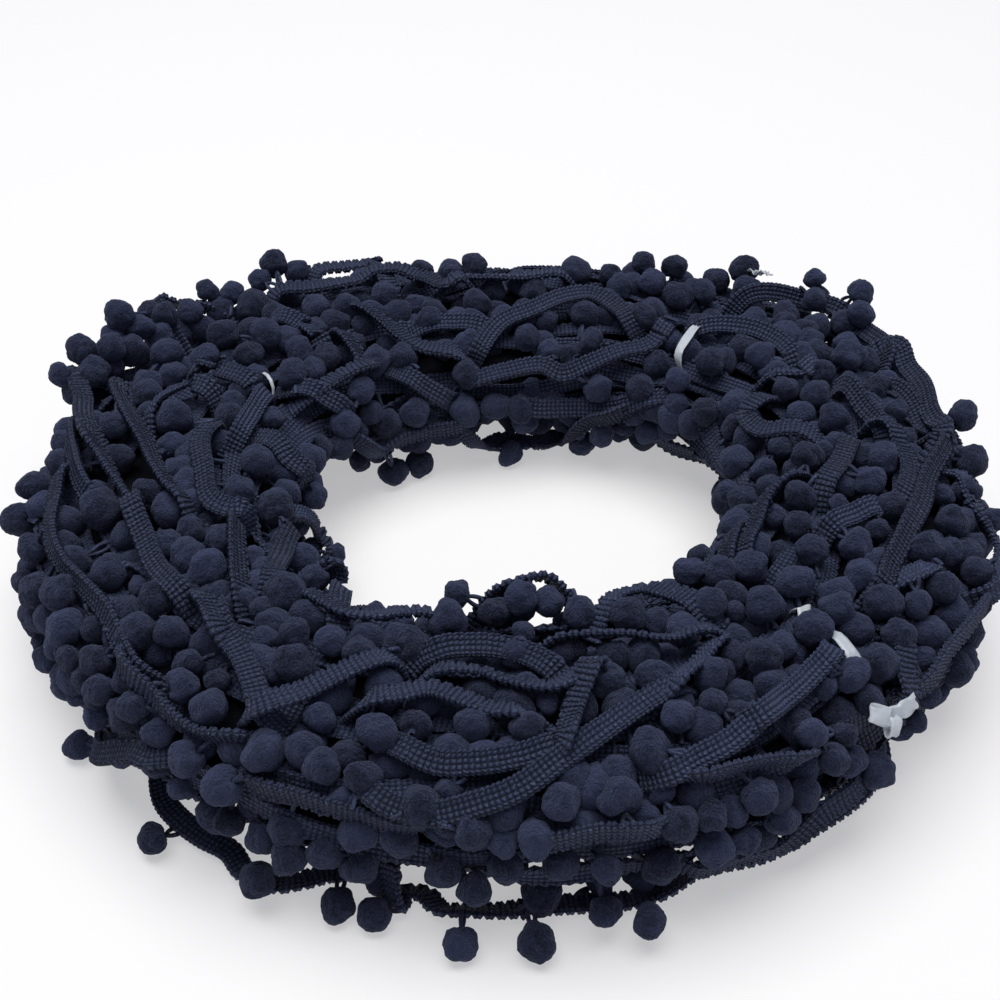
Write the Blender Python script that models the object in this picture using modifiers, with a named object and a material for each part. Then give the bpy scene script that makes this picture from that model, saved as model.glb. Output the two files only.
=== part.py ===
"""A hank of pompom fringe trim.

A narrow woven braid with pompoms along one edge is wound many times into a thick flat ring, which lies on
a surface and is held together by three plastic strips. The ring is one solid of its wound form: the braid
turns that lie on top of it stand proud as bands, the pompoms as balls, and a loose turn lies on the surface
along the front. Each strip is a piece of its own, in a groove that it pulls into the ring.

Sizes in the tables are millimetres and degrees. Turn angles run anticlockwise from +X, seen from above.
Section angles start at the outer side of the ring (0), rise over its crest (90) to the side of the hole
(180), and are negative on the lower outer side.
"""

import random
from dataclasses import dataclass
from math import atan2, cos, degrees, exp, hypot, radians, sin

import bmesh
import bpy
from mathutils import Matrix, Vector

MM = 0.001

# The trim.
POMPOM_DIAMETER = 10.0
POMPOM_OVER_CORNERS = 10.8
POMPOM_PITCH = 13.5
POMPOM_SPACING = 15.0
BRAID_WIDTH = 6.5
BRAID_DEPTH = 7.0
STEM_WIDTH = 2.4
BRAID_TO_POMPOM = 8.2
STEM_START = 2.0
POMPOM_LIFT = -1.2
MOST_POMPOMS = 150
FLOOR_GAP = 0.1

# The ring.
SECTION_STEP = 30.0
SECTION_POWER = 2.5
CORE_SINK = 4.0
CORE_LUMP = 0.7
CORE_FULL_AT = -0.85
CORE_SUNK_AT = -0.35
CORE_SEGMENTS = 36
CORE_SIDES = 12
FLAT_BELOW = 2.8

# The plastic strips.
STRIP_WIDTH = 4.0
STRIP_THICKNESS = 0.8
STRIP_LIFT = -0.6
STRIP_SEGMENTS = 32
STRIP_PINCH = 1.6
STRIP_PINCH_SPREAD = 5.0
STRIP_FLOOR = 0.2
STRIP_CLEARANCE = 0.3
KNOT_RADII = (3.4, 2.8, 1.9)
KNOT_LIFT = 1.0
END_STATIONS = (0.05, 0.4, 0.7, 1.0)
STRIP_TO_POMPOM = 1.2


@dataclass(frozen=True)
class Section:
    """The ring's section at one turn angle: radius of the hole, outer radius and height of the crest."""

    inner: float
    outer: float
    height: float


@dataclass(frozen=True)
class Run:
    """A braid turn that shows: the side its pompoms hang on, and its (turn, section angle, lift) points.

    The side is 1 towards the hole and -1 towards the outside. A run that is loose has stems to its
    pompoms, which stand clear of the ring.
    """

    name: str
    side: int
    points: tuple
    loose: bool = False


@dataclass(frozen=True)
class Filler:
    """A turn that wanders along a wall of the ring between two turn angles."""

    name: str
    side: int
    start: float
    end: float
    around: float
    swing: float
    waves: float


@dataclass(frozen=True)
class Strip:
    """A plastic strip tied round the ring, and the (heading, length, rise) of each free end at its knot."""

    name: str
    turn: float
    slant: float
    knot: float
    ends: tuple


# One row for each SECTION_STEP of turn, from 0.
SECTIONS = (
    Section(inner=62, outer=142, height=52),
    Section(inner=66, outer=145, height=50),
    Section(inner=62, outer=142, height=47),
    Section(inner=55, outer=136, height=46),
    Section(inner=57, outer=138, height=46),
    Section(inner=62, outer=145, height=49),
    Section(inner=60, outer=146, height=52),
    Section(inner=66, outer=142, height=53),
    Section(inner=62, outer=137, height=54),
    Section(inner=55, outer=134, height=54),
    Section(inner=56, outer=135, height=53),
    Section(inner=58, outer=140, height=52),
)

RUNS = (
    Run("fold", -1, ((174, 102, 0), (190, 106, 1), (203, 113, 1), (217, 98, 0), (230, 73, 1), (238, 64, 1),
                     (246, 74, 1), (253, 88, 1), (262, 82, 0), (270, 79, 0), (285, 94, 0))),
    Run("long_front", -1, ((183, 22, 0), (193, 41, 1), (204, 56, 1), (212, 60, 1), (222, 50, 1), (234, 46, 1),
                           (246, 49, 1), (258, 41, 1), (269, 45, 1), (283, 70, 1), (297, 92, 0), (306, 97, 0))),
    Run("broad_front", 1, ((271, 33, 1), (282, 36, 2), (288, 52, 2), (298, 61, 1), (309, 70, 0))),
    Run("low_front", -1, ((237, 36, -1), (250, 31, -1), (262, 24, -1), (272, 20, -1))),
    Run("inner_left", 1, ((205, 150, 0), (220, 150, 0), (228, 131, 0), (237, 122, 0), (252, 126, 0))),
    Run("arch", 1, ((257, 141, -1), (263, 138, 4), (270, 135, 8), (277, 143, 4), (283, 151, -1))),
    Run("floor_turn", -1, ((224, -8, 1), (231, -30, 2), (240, -42, 3), (254, -44, 3), (268, -44, 3),
                           (282, -44, 3), (296, -42, 3), (306, -34, 2), (313, -20, 1)), loose=True),
    Run("left_crest", -1, ((158, 38, 0), (172, 54, 0), (188, 67, 0), (204, 77, 0), (217, 84, 0))),
    Run("left_side", -1, ((166, 12, 0), (175, 28, 1), (182, 42, 1), (188, 54, 0))),
    Run("left_top", 1, ((163, 62, 0), (177, 80, 0), (188, 90, 0))),
    Run("back_crest", -1, ((140, 74, 0), (130, 80, 0), (120, 89, 0), (108, 93, 0), (96, 96, 0))),
    Run("back_fold", 1, ((118, 98, 0), (107, 118, 0), (99, 136, 0), (93, 138, 0), (85, 118, 0), (72, 103, 0),
                         (58, 118, 0))),
    Run("back_inner", 1, ((92, 157, 0), (82, 150, 0), (72, 149, 0), (63, 132, 0), (55, 112, 0), (42, 98, 0))),
    Run("right_outer", -1, ((45, 66, 1), (34, 50, 3), (20, 36, 4), (5, 24, 4), (-10, 15, 2)), loose=True),
    Run("right_crest", -1, ((25, 80, 0), (13, 72, 0), (0, 63, 0), (-12, 66, 0))),
    Run("right_broad", -1, ((20, 60, 2), (8, 48, 2), (-5, 51, 1), (-19, 64, 1), (-31, 74, 0))),
    Run("right_inner", 1, ((6, 119, 0), (-8, 122, 0), (-18, 131, 0), (-26, 140, 0))),
    Run("right_fold", -1, ((-50, 40, 1), (-34, 30, 1), (-24, 26, 1))),
)

FILLERS = (
    Filler("outer_back", -1, start=28, end=160, around=22, swing=9, waves=4),
    Filler("outer_front", 1, start=232, end=306, around=-2, swing=6, waves=3),
)

# Pompoms that stand out from the rest of the ring: turn angle, section angle and lift.
STRAYS = (
    (154, 52, 12), (129, 45, 6), (124, 45, 4), (113, 50, 1), (69, 45, 0), (53, 42, 4), (41, 45, 8),
    (36, 48, 10), (18, 8, 8), (9, 6, 4), (181, 4, 1), (213, -8, 2), (318, -12, 0), (334, -6, 0),
    (228, -46, 9), (241, -50, 5), (251, -50, 4), (260, -50, 6), (266, -52, 9), (273, -52, 9), (284, -52, 6),
)

STRIPS = (
    Strip("strip_back", turn=51, slant=4, knot=30, ends=((25, 9, 3.0), (160, 7, 1.0))),
    Strip("strip_front", turn=321, slant=-8, knot=32, ends=((35, 10, 2.4), (-35, 9, 0.6), (100, 7, 2.0))),
    Strip("strip_left", turn=149, slant=-6, knot=-12, ends=((20, 8, 1.0), (150, 7, 1.0))),
)

FILLER_POINT_EVERY = 8.0
FILLER_LIFT = -0.5
ROUTE_STEPS = 12
STRAND_STATION = 15.0
SCATTER_TRIES = 2600
SCATTER_SEED = 7
SCATTER_AROUND = (-40.0, 212.0)
SCATTER_SINK = 0.8


def catmull_rom(before, start, end, after, share):
    """The value a share of the way from start to end, on the smooth curve through all four."""
    return 0.5 * (
        2 * start
        + (end - before) * share
        + (2 * before - 5 * start + 4 * end - after) * share**2
        + (3 * start - before - 3 * end + after) * share**3
    )


def section_at(turn):
    """Middle radius, half width and half height of the ring at a turn angle, between the table's rows."""
    place = (turn % 360.0) / SECTION_STEP
    row = int(place)
    rows = [SECTIONS[(row + offset) % len(SECTIONS)] for offset in (-1, 0, 1, 2)]
    inner, outer, height = (
        catmull_rom(*(getattr(section, column) for section in rows), place - row)
        for column in ("inner", "outer", "height")
    )
    return (inner + outer) / 2, (outer - inner) / 2, height / 2


def pinch(turn):
    """How far the strips draw the ring in at a turn angle."""
    total = 0.0
    for strip in STRIPS:
        apart = (turn - strip.turn + 180.0) % 360.0 - 180.0
        total += STRIP_PINCH * exp(-((apart / STRIP_PINCH_SPREAD) ** 2))
    return total


def ring_point(turn, around, lift=0.0, pinched=True):
    """The point on the ring's skin, raised by a lift along the section's own ray."""
    middle, half_width, half_height = section_at(turn)
    across, up = cos(radians(around)), sin(radians(around))
    reach = (abs(across) ** SECTION_POWER + abs(up) ** SECTION_POWER) ** (-1 / SECTION_POWER)
    if pinched:
        lift -= pinch(turn)
    radius = middle + (half_width * reach + lift) * across
    height = half_height + (half_height * reach + lift) * up
    return Vector((radius * cos(radians(turn)), radius * sin(radians(turn)), height))


def ring_normal(turn, around):
    """The direction straight out of the ring's skin."""
    along = ring_point(turn + 0.5, around) - ring_point(turn - 0.5, around)
    over = ring_point(turn, around + 0.5) - ring_point(turn, around - 0.5)
    return along.cross(over).normalized()


def ring_angles(point):
    """The turn and section angles of a point near the ring's skin."""
    turn = degrees(atan2(point.y, point.x))
    middle, half_width, half_height = section_at(turn)
    radius = hypot(point.x, point.y)
    around = degrees(atan2((point.z - half_height) / half_height, (radius - middle) / half_width))
    return turn, around


def angular_route(points):
    """Finely spaced (turn, section angle, lift) triples on the smooth curve through a run's points."""
    padded = (points[0], *points, points[-1])
    fine = []
    for row in range(len(points) - 1):
        stretch = padded[row:row + 4]
        for step in range(ROUTE_STEPS):
            fine.append(tuple(catmull_rom(*column, step / ROUTE_STEPS) for column in zip(*stretch)))
    fine.append(points[-1])
    return fine


def resampled(route, spacing):
    """The triples of a fine route nearest to each multiple of a spacing along it."""
    kept = [route[0]]
    gone = 0.0
    for last, here in zip(route, route[1:]):
        gone += (ring_point(*here) - ring_point(*last)).length
        if gone >= spacing:
            kept.append(here)
            gone -= spacing
    return kept


def filler_points(filler):
    """A filler's (turn, section angle, lift) points."""
    count = round((filler.end - filler.start) / FILLER_POINT_EVERY)
    points = []
    for number in range(count + 1):
        share = number / count
        turn = filler.start + share * (filler.end - filler.start)
        around = filler.around + filler.swing * sin(radians(360.0 * filler.waves * share))
        points.append((turn, around, FILLER_LIFT))
    return tuple(points)


def strand_frame(route, number):
    """The point of a route's sample, its normal, and the direction across it towards the hole."""
    turn, around, lift = route[number]
    ahead = ring_point(*route[min(number + 1, len(route) - 1)])
    behind = ring_point(*route[max(number - 1, 0)])
    normal = ring_normal(turn, around)
    across = normal.cross(ahead - behind).normalized()
    hole_side = ring_point(turn, around + 1.0) - ring_point(turn, around)
    if across.dot(hole_side) < 0:
        across.negate()
    return ring_point(turn, around, lift), normal, across


def principled(name, colour, roughness):
    """A plain material with a base colour and a roughness."""
    material = bpy.data.materials.new(name)
    material.use_nodes = True
    shader = material.node_tree.nodes["Principled BSDF"]
    shader.inputs["Base Color"].default_value = (*colour, 1.0)
    shader.inputs["Roughness"].default_value = roughness
    return material


def new_object(name, shape, collection, material=None):
    """An object that holds a bmesh given in millimetres."""
    bmesh.ops.scale(shape, vec=(MM, MM, MM), verts=shape.verts)
    mesh = bpy.data.meshes.new(name)
    shape.to_mesh(mesh)
    shape.free()
    if material:
        mesh.materials.append(material)
    made = bpy.data.objects.new(name, mesh)
    collection.objects.link(made)
    return made


def hidden(helper):
    """Marks an object as one that only shapes another."""
    helper.hide_render = True
    helper.display_type = "WIRE"
    return helper


def solidified(strip, thickness, offset):
    """Gives an open strip its thickness, inwards for an offset of -1 and both ways for 0."""
    modifier = strip.modifiers.new("Thickness", "SOLIDIFY")
    modifier.thickness = thickness * MM
    modifier.offset = offset
    return strip


def ribbon(edges, closed=False):
    """A bmesh strip of quads through pairs of points, whose faces look along the pairs' own turn."""
    shape = bmesh.new()
    rungs = [tuple(shape.verts.new(point) for point in pair) for pair in edges]
    following = rungs[1:] + rungs[:1] if closed else rungs[1:]
    for (left, right), (next_left, next_right) in zip(rungs, following):
        shape.faces.new((left, next_left, next_right, right))
    return shape


def facing_out(shape, normal):
    """Turns an open strip's faces to the side that a normal at its first face points to."""
    shape.faces.ensure_lookup_table()
    shape.normal_update()
    if shape.faces[0].normal.dot(normal) < 0:
        bmesh.ops.reverse_faces(shape, faces=shape.faces)
    return shape


def sink_share(around):
    """How much of its depth the core lies under the ring's skin: all of it, but none where it rests."""
    share = (sin(radians(around)) - CORE_FULL_AT) / (CORE_SUNK_AT - CORE_FULL_AT)
    return min(1.0, max(0.0, share))


def make_core(collection, material):
    """The wound body under the turns that show: a torus moved onto the ring's form, flat where it rests."""
    bpy.ops.mesh.primitive_torus_add(
        major_segments=CORE_SEGMENTS, minor_segments=CORE_SIDES, major_radius=1.0, minor_radius=0.4
    )
    core = bpy.context.object
    core.name = core.data.name = "hank"
    for vertex in core.data.vertices:
        turn = degrees(atan2(vertex.co.y, vertex.co.x))
        around = degrees(atan2(vertex.co.z, hypot(vertex.co.x, vertex.co.y) - 1.0))
        lump = CORE_LUMP * sin(radians(9 * turn + 4 * around)) * sin(radians(5 * turn - 3 * around))
        place = ring_point(turn, around, sink_share(around) * (lump - CORE_SINK))
        if place.z < FLAT_BELOW:
            place.z = 0.0
        vertex.co = place * MM
    core.data.materials.append(material)
    for owner in list(core.users_collection):
        owner.objects.unlink(core)
    collection.objects.link(core)
    return core


def make_strand(name, points, collection):
    """A band of braid laid along a route, sunk in the ring to its full depth."""
    fine = angular_route(points)
    route = resampled(fine, STRAND_STATION)
    if (ring_point(*fine[-1]) - ring_point(*route[-1])).length > BRAID_WIDTH / 2:
        route.append(fine[-1])
    frames = [strand_frame(route, number) for number in range(len(route))]
    edges = []
    for place, normal, across in frames:
        place.z = max(place.z, BRAID_WIDTH / 2)
        edges.append((place - across * BRAID_WIDTH / 2, place + across * BRAID_WIDTH / 2))
    shape = facing_out(ribbon(edges), frames[0][1])
    strand = new_object("strand_" + name, shape, collection)
    return hidden(solidified(strand, BRAID_DEPTH, -1))


def clear_of_strips(centre, clearances):
    """Whether a pompom at this centre leaves the plastic strips free."""
    return all((centre - point).length > reach for point, reach in clearances)


def resting(centre):
    """The centre, no lower than a pompom's that lies on the surface."""
    return Vector((centre.x, centre.y, max(centre.z, POMPOM_OVER_CORNERS / 2 + FLOOR_GAP)))


def stray_centres():
    """The centres of the pompoms that stand out, each with the point on the ring its stem comes from."""
    return [
        (resting(ring_point(turn, around, lift)), ring_point(turn, around, -2.0 * CORE_SINK))
        for turn, around, lift in STRAYS
    ]


def run_centres(run):
    """The centres of a run's pompoms, each with the edge of the braid that it hangs from."""
    route = resampled(angular_route(run.points), POMPOM_PITCH)
    found = []
    for number in range(1, len(route)):
        place, normal, across = strand_frame(route, number)
        beside = place + across * run.side * BRAID_TO_POMPOM
        if not run.loose:
            turn, around = ring_angles(beside)
            beside = ring_point(turn, around, POMPOM_LIFT)
        found.append((resting(beside), place + across * run.side * STEM_START))
    return found


def scattered_centres():
    """Places spread at random over the ring's skin, for the pompoms of turns that don't show."""
    chance = random.Random(SCATTER_SEED)
    found = []
    for _ in range(SCATTER_TRIES):
        turn = chance.uniform(0.0, 360.0)
        around = chance.uniform(*SCATTER_AROUND)
        centre = resting(ring_point(turn, around, POMPOM_LIFT - chance.uniform(0.0, SCATTER_SINK)))
        found.append((centre, None))
    return found


def pompom_places():
    """Every pompom's centre, with the start of its stem or None where the ring itself holds it."""
    clearances = strip_clearances()
    places = [place for place in stray_centres() if clear_of_strips(place[0], clearances)]
    hung = [(centre, start if run.loose else None) for run in RUNS for centre, start in run_centres(run)]
    for centre, start in hung + scattered_centres():
        if len(places) == MOST_POMPOMS:
            break
        apart = all((centre - other).length > POMPOM_SPACING for other, _ in places)
        if apart and clear_of_strips(centre, clearances):
            places.append((centre, start))
    return places


def make_pompom(number, centre, collection):
    """A ball with its poles on the ring's normal, or upright where it lies on the surface."""
    shape = bmesh.new()
    bmesh.ops.create_icosphere(shape, subdivisions=1, radius=POMPOM_OVER_CORNERS / 2)
    upright = centre.z < POMPOM_OVER_CORNERS / 2 + 2 * FLOOR_GAP
    axis = Vector((0, 0, 1)) if upright else ring_normal(*ring_angles(centre))
    turned = axis.to_track_quat("Z", "Y").to_matrix().to_4x4()
    bmesh.ops.transform(shape, matrix=Matrix.Translation(centre) @ turned, verts=shape.verts)
    hidden(new_object(f"pompom_{number}", shape, collection))


def make_stem(number, start, centre, collection):
    """The short thread that ties a free pompom to its braid."""
    reach = centre - start
    shape = bmesh.new()
    bmesh.ops.create_cone(
        shape, cap_ends=True, segments=4, radius1=STEM_WIDTH / 2, radius2=STEM_WIDTH / 2, depth=reach.length
    )
    turned = reach.to_track_quat("Z", "Y").to_matrix().to_4x4()
    bmesh.ops.transform(
        shape, matrix=Matrix.Translation((start + centre) / 2) @ turned, verts=shape.verts
    )
    hidden(new_object(f"stem_{number}", shape, collection))


def strip_loop(strip):
    """The (point, direction along the ring) pairs of a strip's route round the ring."""
    stations = []
    for number in range(STRIP_SEGMENTS):
        around = 360.0 * number / STRIP_SEGMENTS
        turn = strip.turn + strip.slant * cos(radians(around))
        place = ring_point(turn, around, STRIP_LIFT, pinched=False)
        place.z = max(place.z, STRIP_FLOOR + STRIP_THICKNESS / 2)
        along = ring_point(turn + 1.0, around) - ring_point(turn - 1.0, around)
        stations.append((place, along.normalized()))
    return stations


def knot_frame(strip):
    """A strip's knot: its centre, the ring's direction there and the normal."""
    turn = strip.turn + strip.slant * cos(radians(strip.knot))
    normal = ring_normal(turn, strip.knot)
    along = ring_point(turn + 1.0, strip.knot) - ring_point(turn - 1.0, strip.knot)
    return ring_point(turn, strip.knot, KNOT_LIFT, pinched=False), along.normalized(), normal


def end_route(strip, heading, length, rise):
    """The points along one free end of a strip, from inside its knot."""
    centre, along, normal = knot_frame(strip)
    upward = normal.cross(along).normalized()
    way = along * cos(radians(heading)) + upward * sin(radians(heading))
    return [centre + way * length * share + normal * rise * share**2 for share in END_STATIONS]


def strip_clearances():
    """Points along the strips, each with how far a pompom's centre stays from it."""
    reach = POMPOM_DIAMETER / 2 + STRIP_WIDTH / 2 + STRIP_TO_POMPOM
    found = []
    for strip in STRIPS:
        found += [(point, reach) for point, _ in strip_loop(strip)]
        found.append((knot_frame(strip)[0], POMPOM_DIAMETER / 2 + KNOT_RADII[0] + STRIP_TO_POMPOM))
        for heading, length, rise in strip.ends:
            found += [(point, reach) for point in end_route(strip, heading, length, rise)]
    return found


def make_knot(strip, grow, collection):
    """The flattened lump where a strip is knotted."""
    centre, along, normal = knot_frame(strip)
    shape = bmesh.new()
    bmesh.ops.create_uvsphere(shape, u_segments=8, v_segments=6, radius=1.0)
    radii = Matrix.Diagonal([radius + grow for radius in KNOT_RADII] + [1.0])
    axes = Matrix((along, normal.cross(along), normal)).transposed().to_4x4()
    bmesh.ops.transform(shape, matrix=Matrix.Translation(centre) @ axes @ radii, verts=shape.verts)
    return hidden(new_object(strip.name + "_knot", shape, collection))


def make_free_end(strip, number, end, grow, collection):
    """One free end of a strip."""
    heading, length, rise = end
    route = end_route(strip, heading, length + grow, rise)
    _, along, normal = knot_frame(strip)
    across = (route[-1] - route[0]).cross(normal).normalized() * (STRIP_WIDTH / 2 + grow)
    shape = facing_out(ribbon([(point - across, point + across) for point in route]), normal)
    free_end = new_object(f"{strip.name}_end_{number}", shape, collection)
    return hidden(solidified(free_end, STRIP_THICKNESS + 2 * grow, 0))


def make_strip(strip, name, grow, collection, material, pieces):
    """A strip's loop with its knot and free ends, all larger by a growth where it cuts its groove."""
    half = STRIP_WIDTH / 2 + grow
    loop = ribbon([(place - along * half, place + along * half) for place, along in strip_loop(strip)], True)
    made = new_object(name, loop, collection, material)
    solidified(made, STRIP_THICKNESS + 2 * grow, 0)
    make_knot(strip, grow, pieces)
    for number, end in enumerate(strip.ends):
        make_free_end(strip, number, end, grow, pieces)
    joined(made, pieces, "UNION")
    return made


def joined(target, pieces, operation):
    """Adds a Boolean with a whole collection to an object."""
    modifier = target.modifiers.new(operation.title(), "BOOLEAN")
    modifier.operation = operation
    modifier.operand_type = "COLLECTION"
    modifier.collection = pieces
    modifier.solver = "EXACT"
    modifier.use_self = operation == "UNION"


def new_collection(name, parent):
    """A collection inside another."""
    made = bpy.data.collections.new(name)
    parent.children.link(made)
    return made


def stand_on_origin(visible, everything):
    """Moves the model so that the origin is under the middle of its bounding box."""
    bpy.context.view_layer.update()
    graph = bpy.context.evaluated_depsgraph_get()
    corners = [
        Vector(corner) for piece in visible for corner in piece.evaluated_get(graph).bound_box
    ]
    low = Vector(map(min, zip(*corners)))
    high = Vector(map(max, zip(*corners)))
    shift = Vector(((low.x + high.x) / -2, (low.y + high.y) / -2, -low.z))
    for piece in everything:
        piece.location = shift
    print("ring centre from the origin, mm:", [round(value / MM, 2) for value in shift])


def main():
    """Builds the hank and its strips."""
    for leftover in list(bpy.data.objects):
        bpy.data.objects.remove(leftover)
    scene_collection = bpy.context.scene.collection
    model = new_collection("pompom_fringe_trim", scene_collection)
    helpers = new_collection("helpers", scene_collection)
    turns = new_collection("turns_and_pompoms", helpers)
    grooves = new_collection("grooves", helpers)
    yarn = principled("dark_navy_yarn", colour=(0.012, 0.014, 0.024), roughness=0.9)
    plastic = principled("clear_plastic", colour=(0.72, 0.76, 0.78), roughness=0.3)

    hank = make_core(model, yarn)
    for run in RUNS:
        make_strand(run.name, run.points, turns)
    for filler in FILLERS:
        make_strand(filler.name, filler_points(filler), turns)
    for number, (centre, stem_start) in enumerate(pompom_places()):
        make_pompom(number, centre, turns)
        if stem_start:
            make_stem(number, stem_start, centre, turns)
    joined(hank, turns, "UNION")

    strips = []
    for strip in STRIPS:
        pieces = new_collection(strip.name + "_pieces", helpers)
        strips.append(make_strip(strip, strip.name, 0.0, model, plastic, pieces))
        room = new_collection(strip.name + "_room", helpers)
        hidden(make_strip(strip, strip.name + "_groove", STRIP_CLEARANCE, grooves, None, room))
    joined(hank, grooves, "DIFFERENCE")
    stand_on_origin([hank, *strips], [piece for piece in bpy.data.objects if piece.type == "MESH"])


main()
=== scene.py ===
"""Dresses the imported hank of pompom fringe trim.

The trim is a narrow woven braid with felted pompoms on corded loops along one edge. It is wound many times
into a thick flat ring that three soft plastic ties hold together. Every visible turn of the braid is laid
over a dark inner winding, its pompoms are hung from it and settle against each other, and each tie is a
creased ribbon with a knot.

Lengths in the tables are millimetres and angles are degrees. A turn angle runs anticlockwise from +X, seen
from above. A section angle starts at the outer side of the ring (0), rises over its crest (90) to the side
of the hole (180), and is negative low on the outer side. A lift is a height above the ring's skin.
"""

import logging
from collections.abc import Mapping, Sequence
from dataclasses import dataclass, field
from enum import Enum
from math import radians

import bmesh
import bpy
import numpy as np
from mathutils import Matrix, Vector, kdtree, noise
from numpy.typing import NDArray


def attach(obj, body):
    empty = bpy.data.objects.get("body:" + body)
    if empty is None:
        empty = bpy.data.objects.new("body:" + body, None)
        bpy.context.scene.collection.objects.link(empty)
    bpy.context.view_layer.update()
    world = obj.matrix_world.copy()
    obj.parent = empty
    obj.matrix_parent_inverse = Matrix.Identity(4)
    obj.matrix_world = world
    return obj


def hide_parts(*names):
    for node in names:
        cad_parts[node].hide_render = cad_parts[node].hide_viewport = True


Array = NDArray[np.float64]
Whole = NDArray[np.int64]

LOG = logging.getLogger("pompom_trim")
MM = 0.001

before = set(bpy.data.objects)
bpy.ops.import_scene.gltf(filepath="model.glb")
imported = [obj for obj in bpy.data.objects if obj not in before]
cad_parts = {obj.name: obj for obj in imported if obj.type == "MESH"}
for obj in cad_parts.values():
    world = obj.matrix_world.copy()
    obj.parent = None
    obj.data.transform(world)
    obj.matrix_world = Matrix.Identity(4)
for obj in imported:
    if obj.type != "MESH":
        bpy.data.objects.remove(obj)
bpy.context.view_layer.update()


class Edge(Enum):
    """The edge of the braid that pompoms hang on, towards the hole or away from it."""

    INNER = 1
    OUTER = -1


@dataclass(frozen=True)
class Turn:
    """A stretch of braid that shows: its (turn, section angle, lift) points, and how it lies.

    The roll turns it about its own length, so that it stands partly on edge, and the sway swings the roll.
    """

    name: str
    points: tuple[tuple[float, float, float], ...]
    roll: float = 0.0
    sway: float = 9.0
    tucked: bool = True
    edge: Edge = Edge.OUTER


# Radius of the hole, outer radius and height of the ring, one row for each 30 degrees of turn from 0.
SECTION_STEP = 30.0
SECTIONS = np.array([
    (62, 142, 52), (66, 145, 50), (62, 142, 47), (55, 136, 46), (57, 138, 46), (62, 145, 49),
    (60, 146, 52), (66, 142, 53), (62, 137, 54), (55, 134, 54), (56, 135, 53), (58, 140, 52),
], dtype=float)

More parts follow.
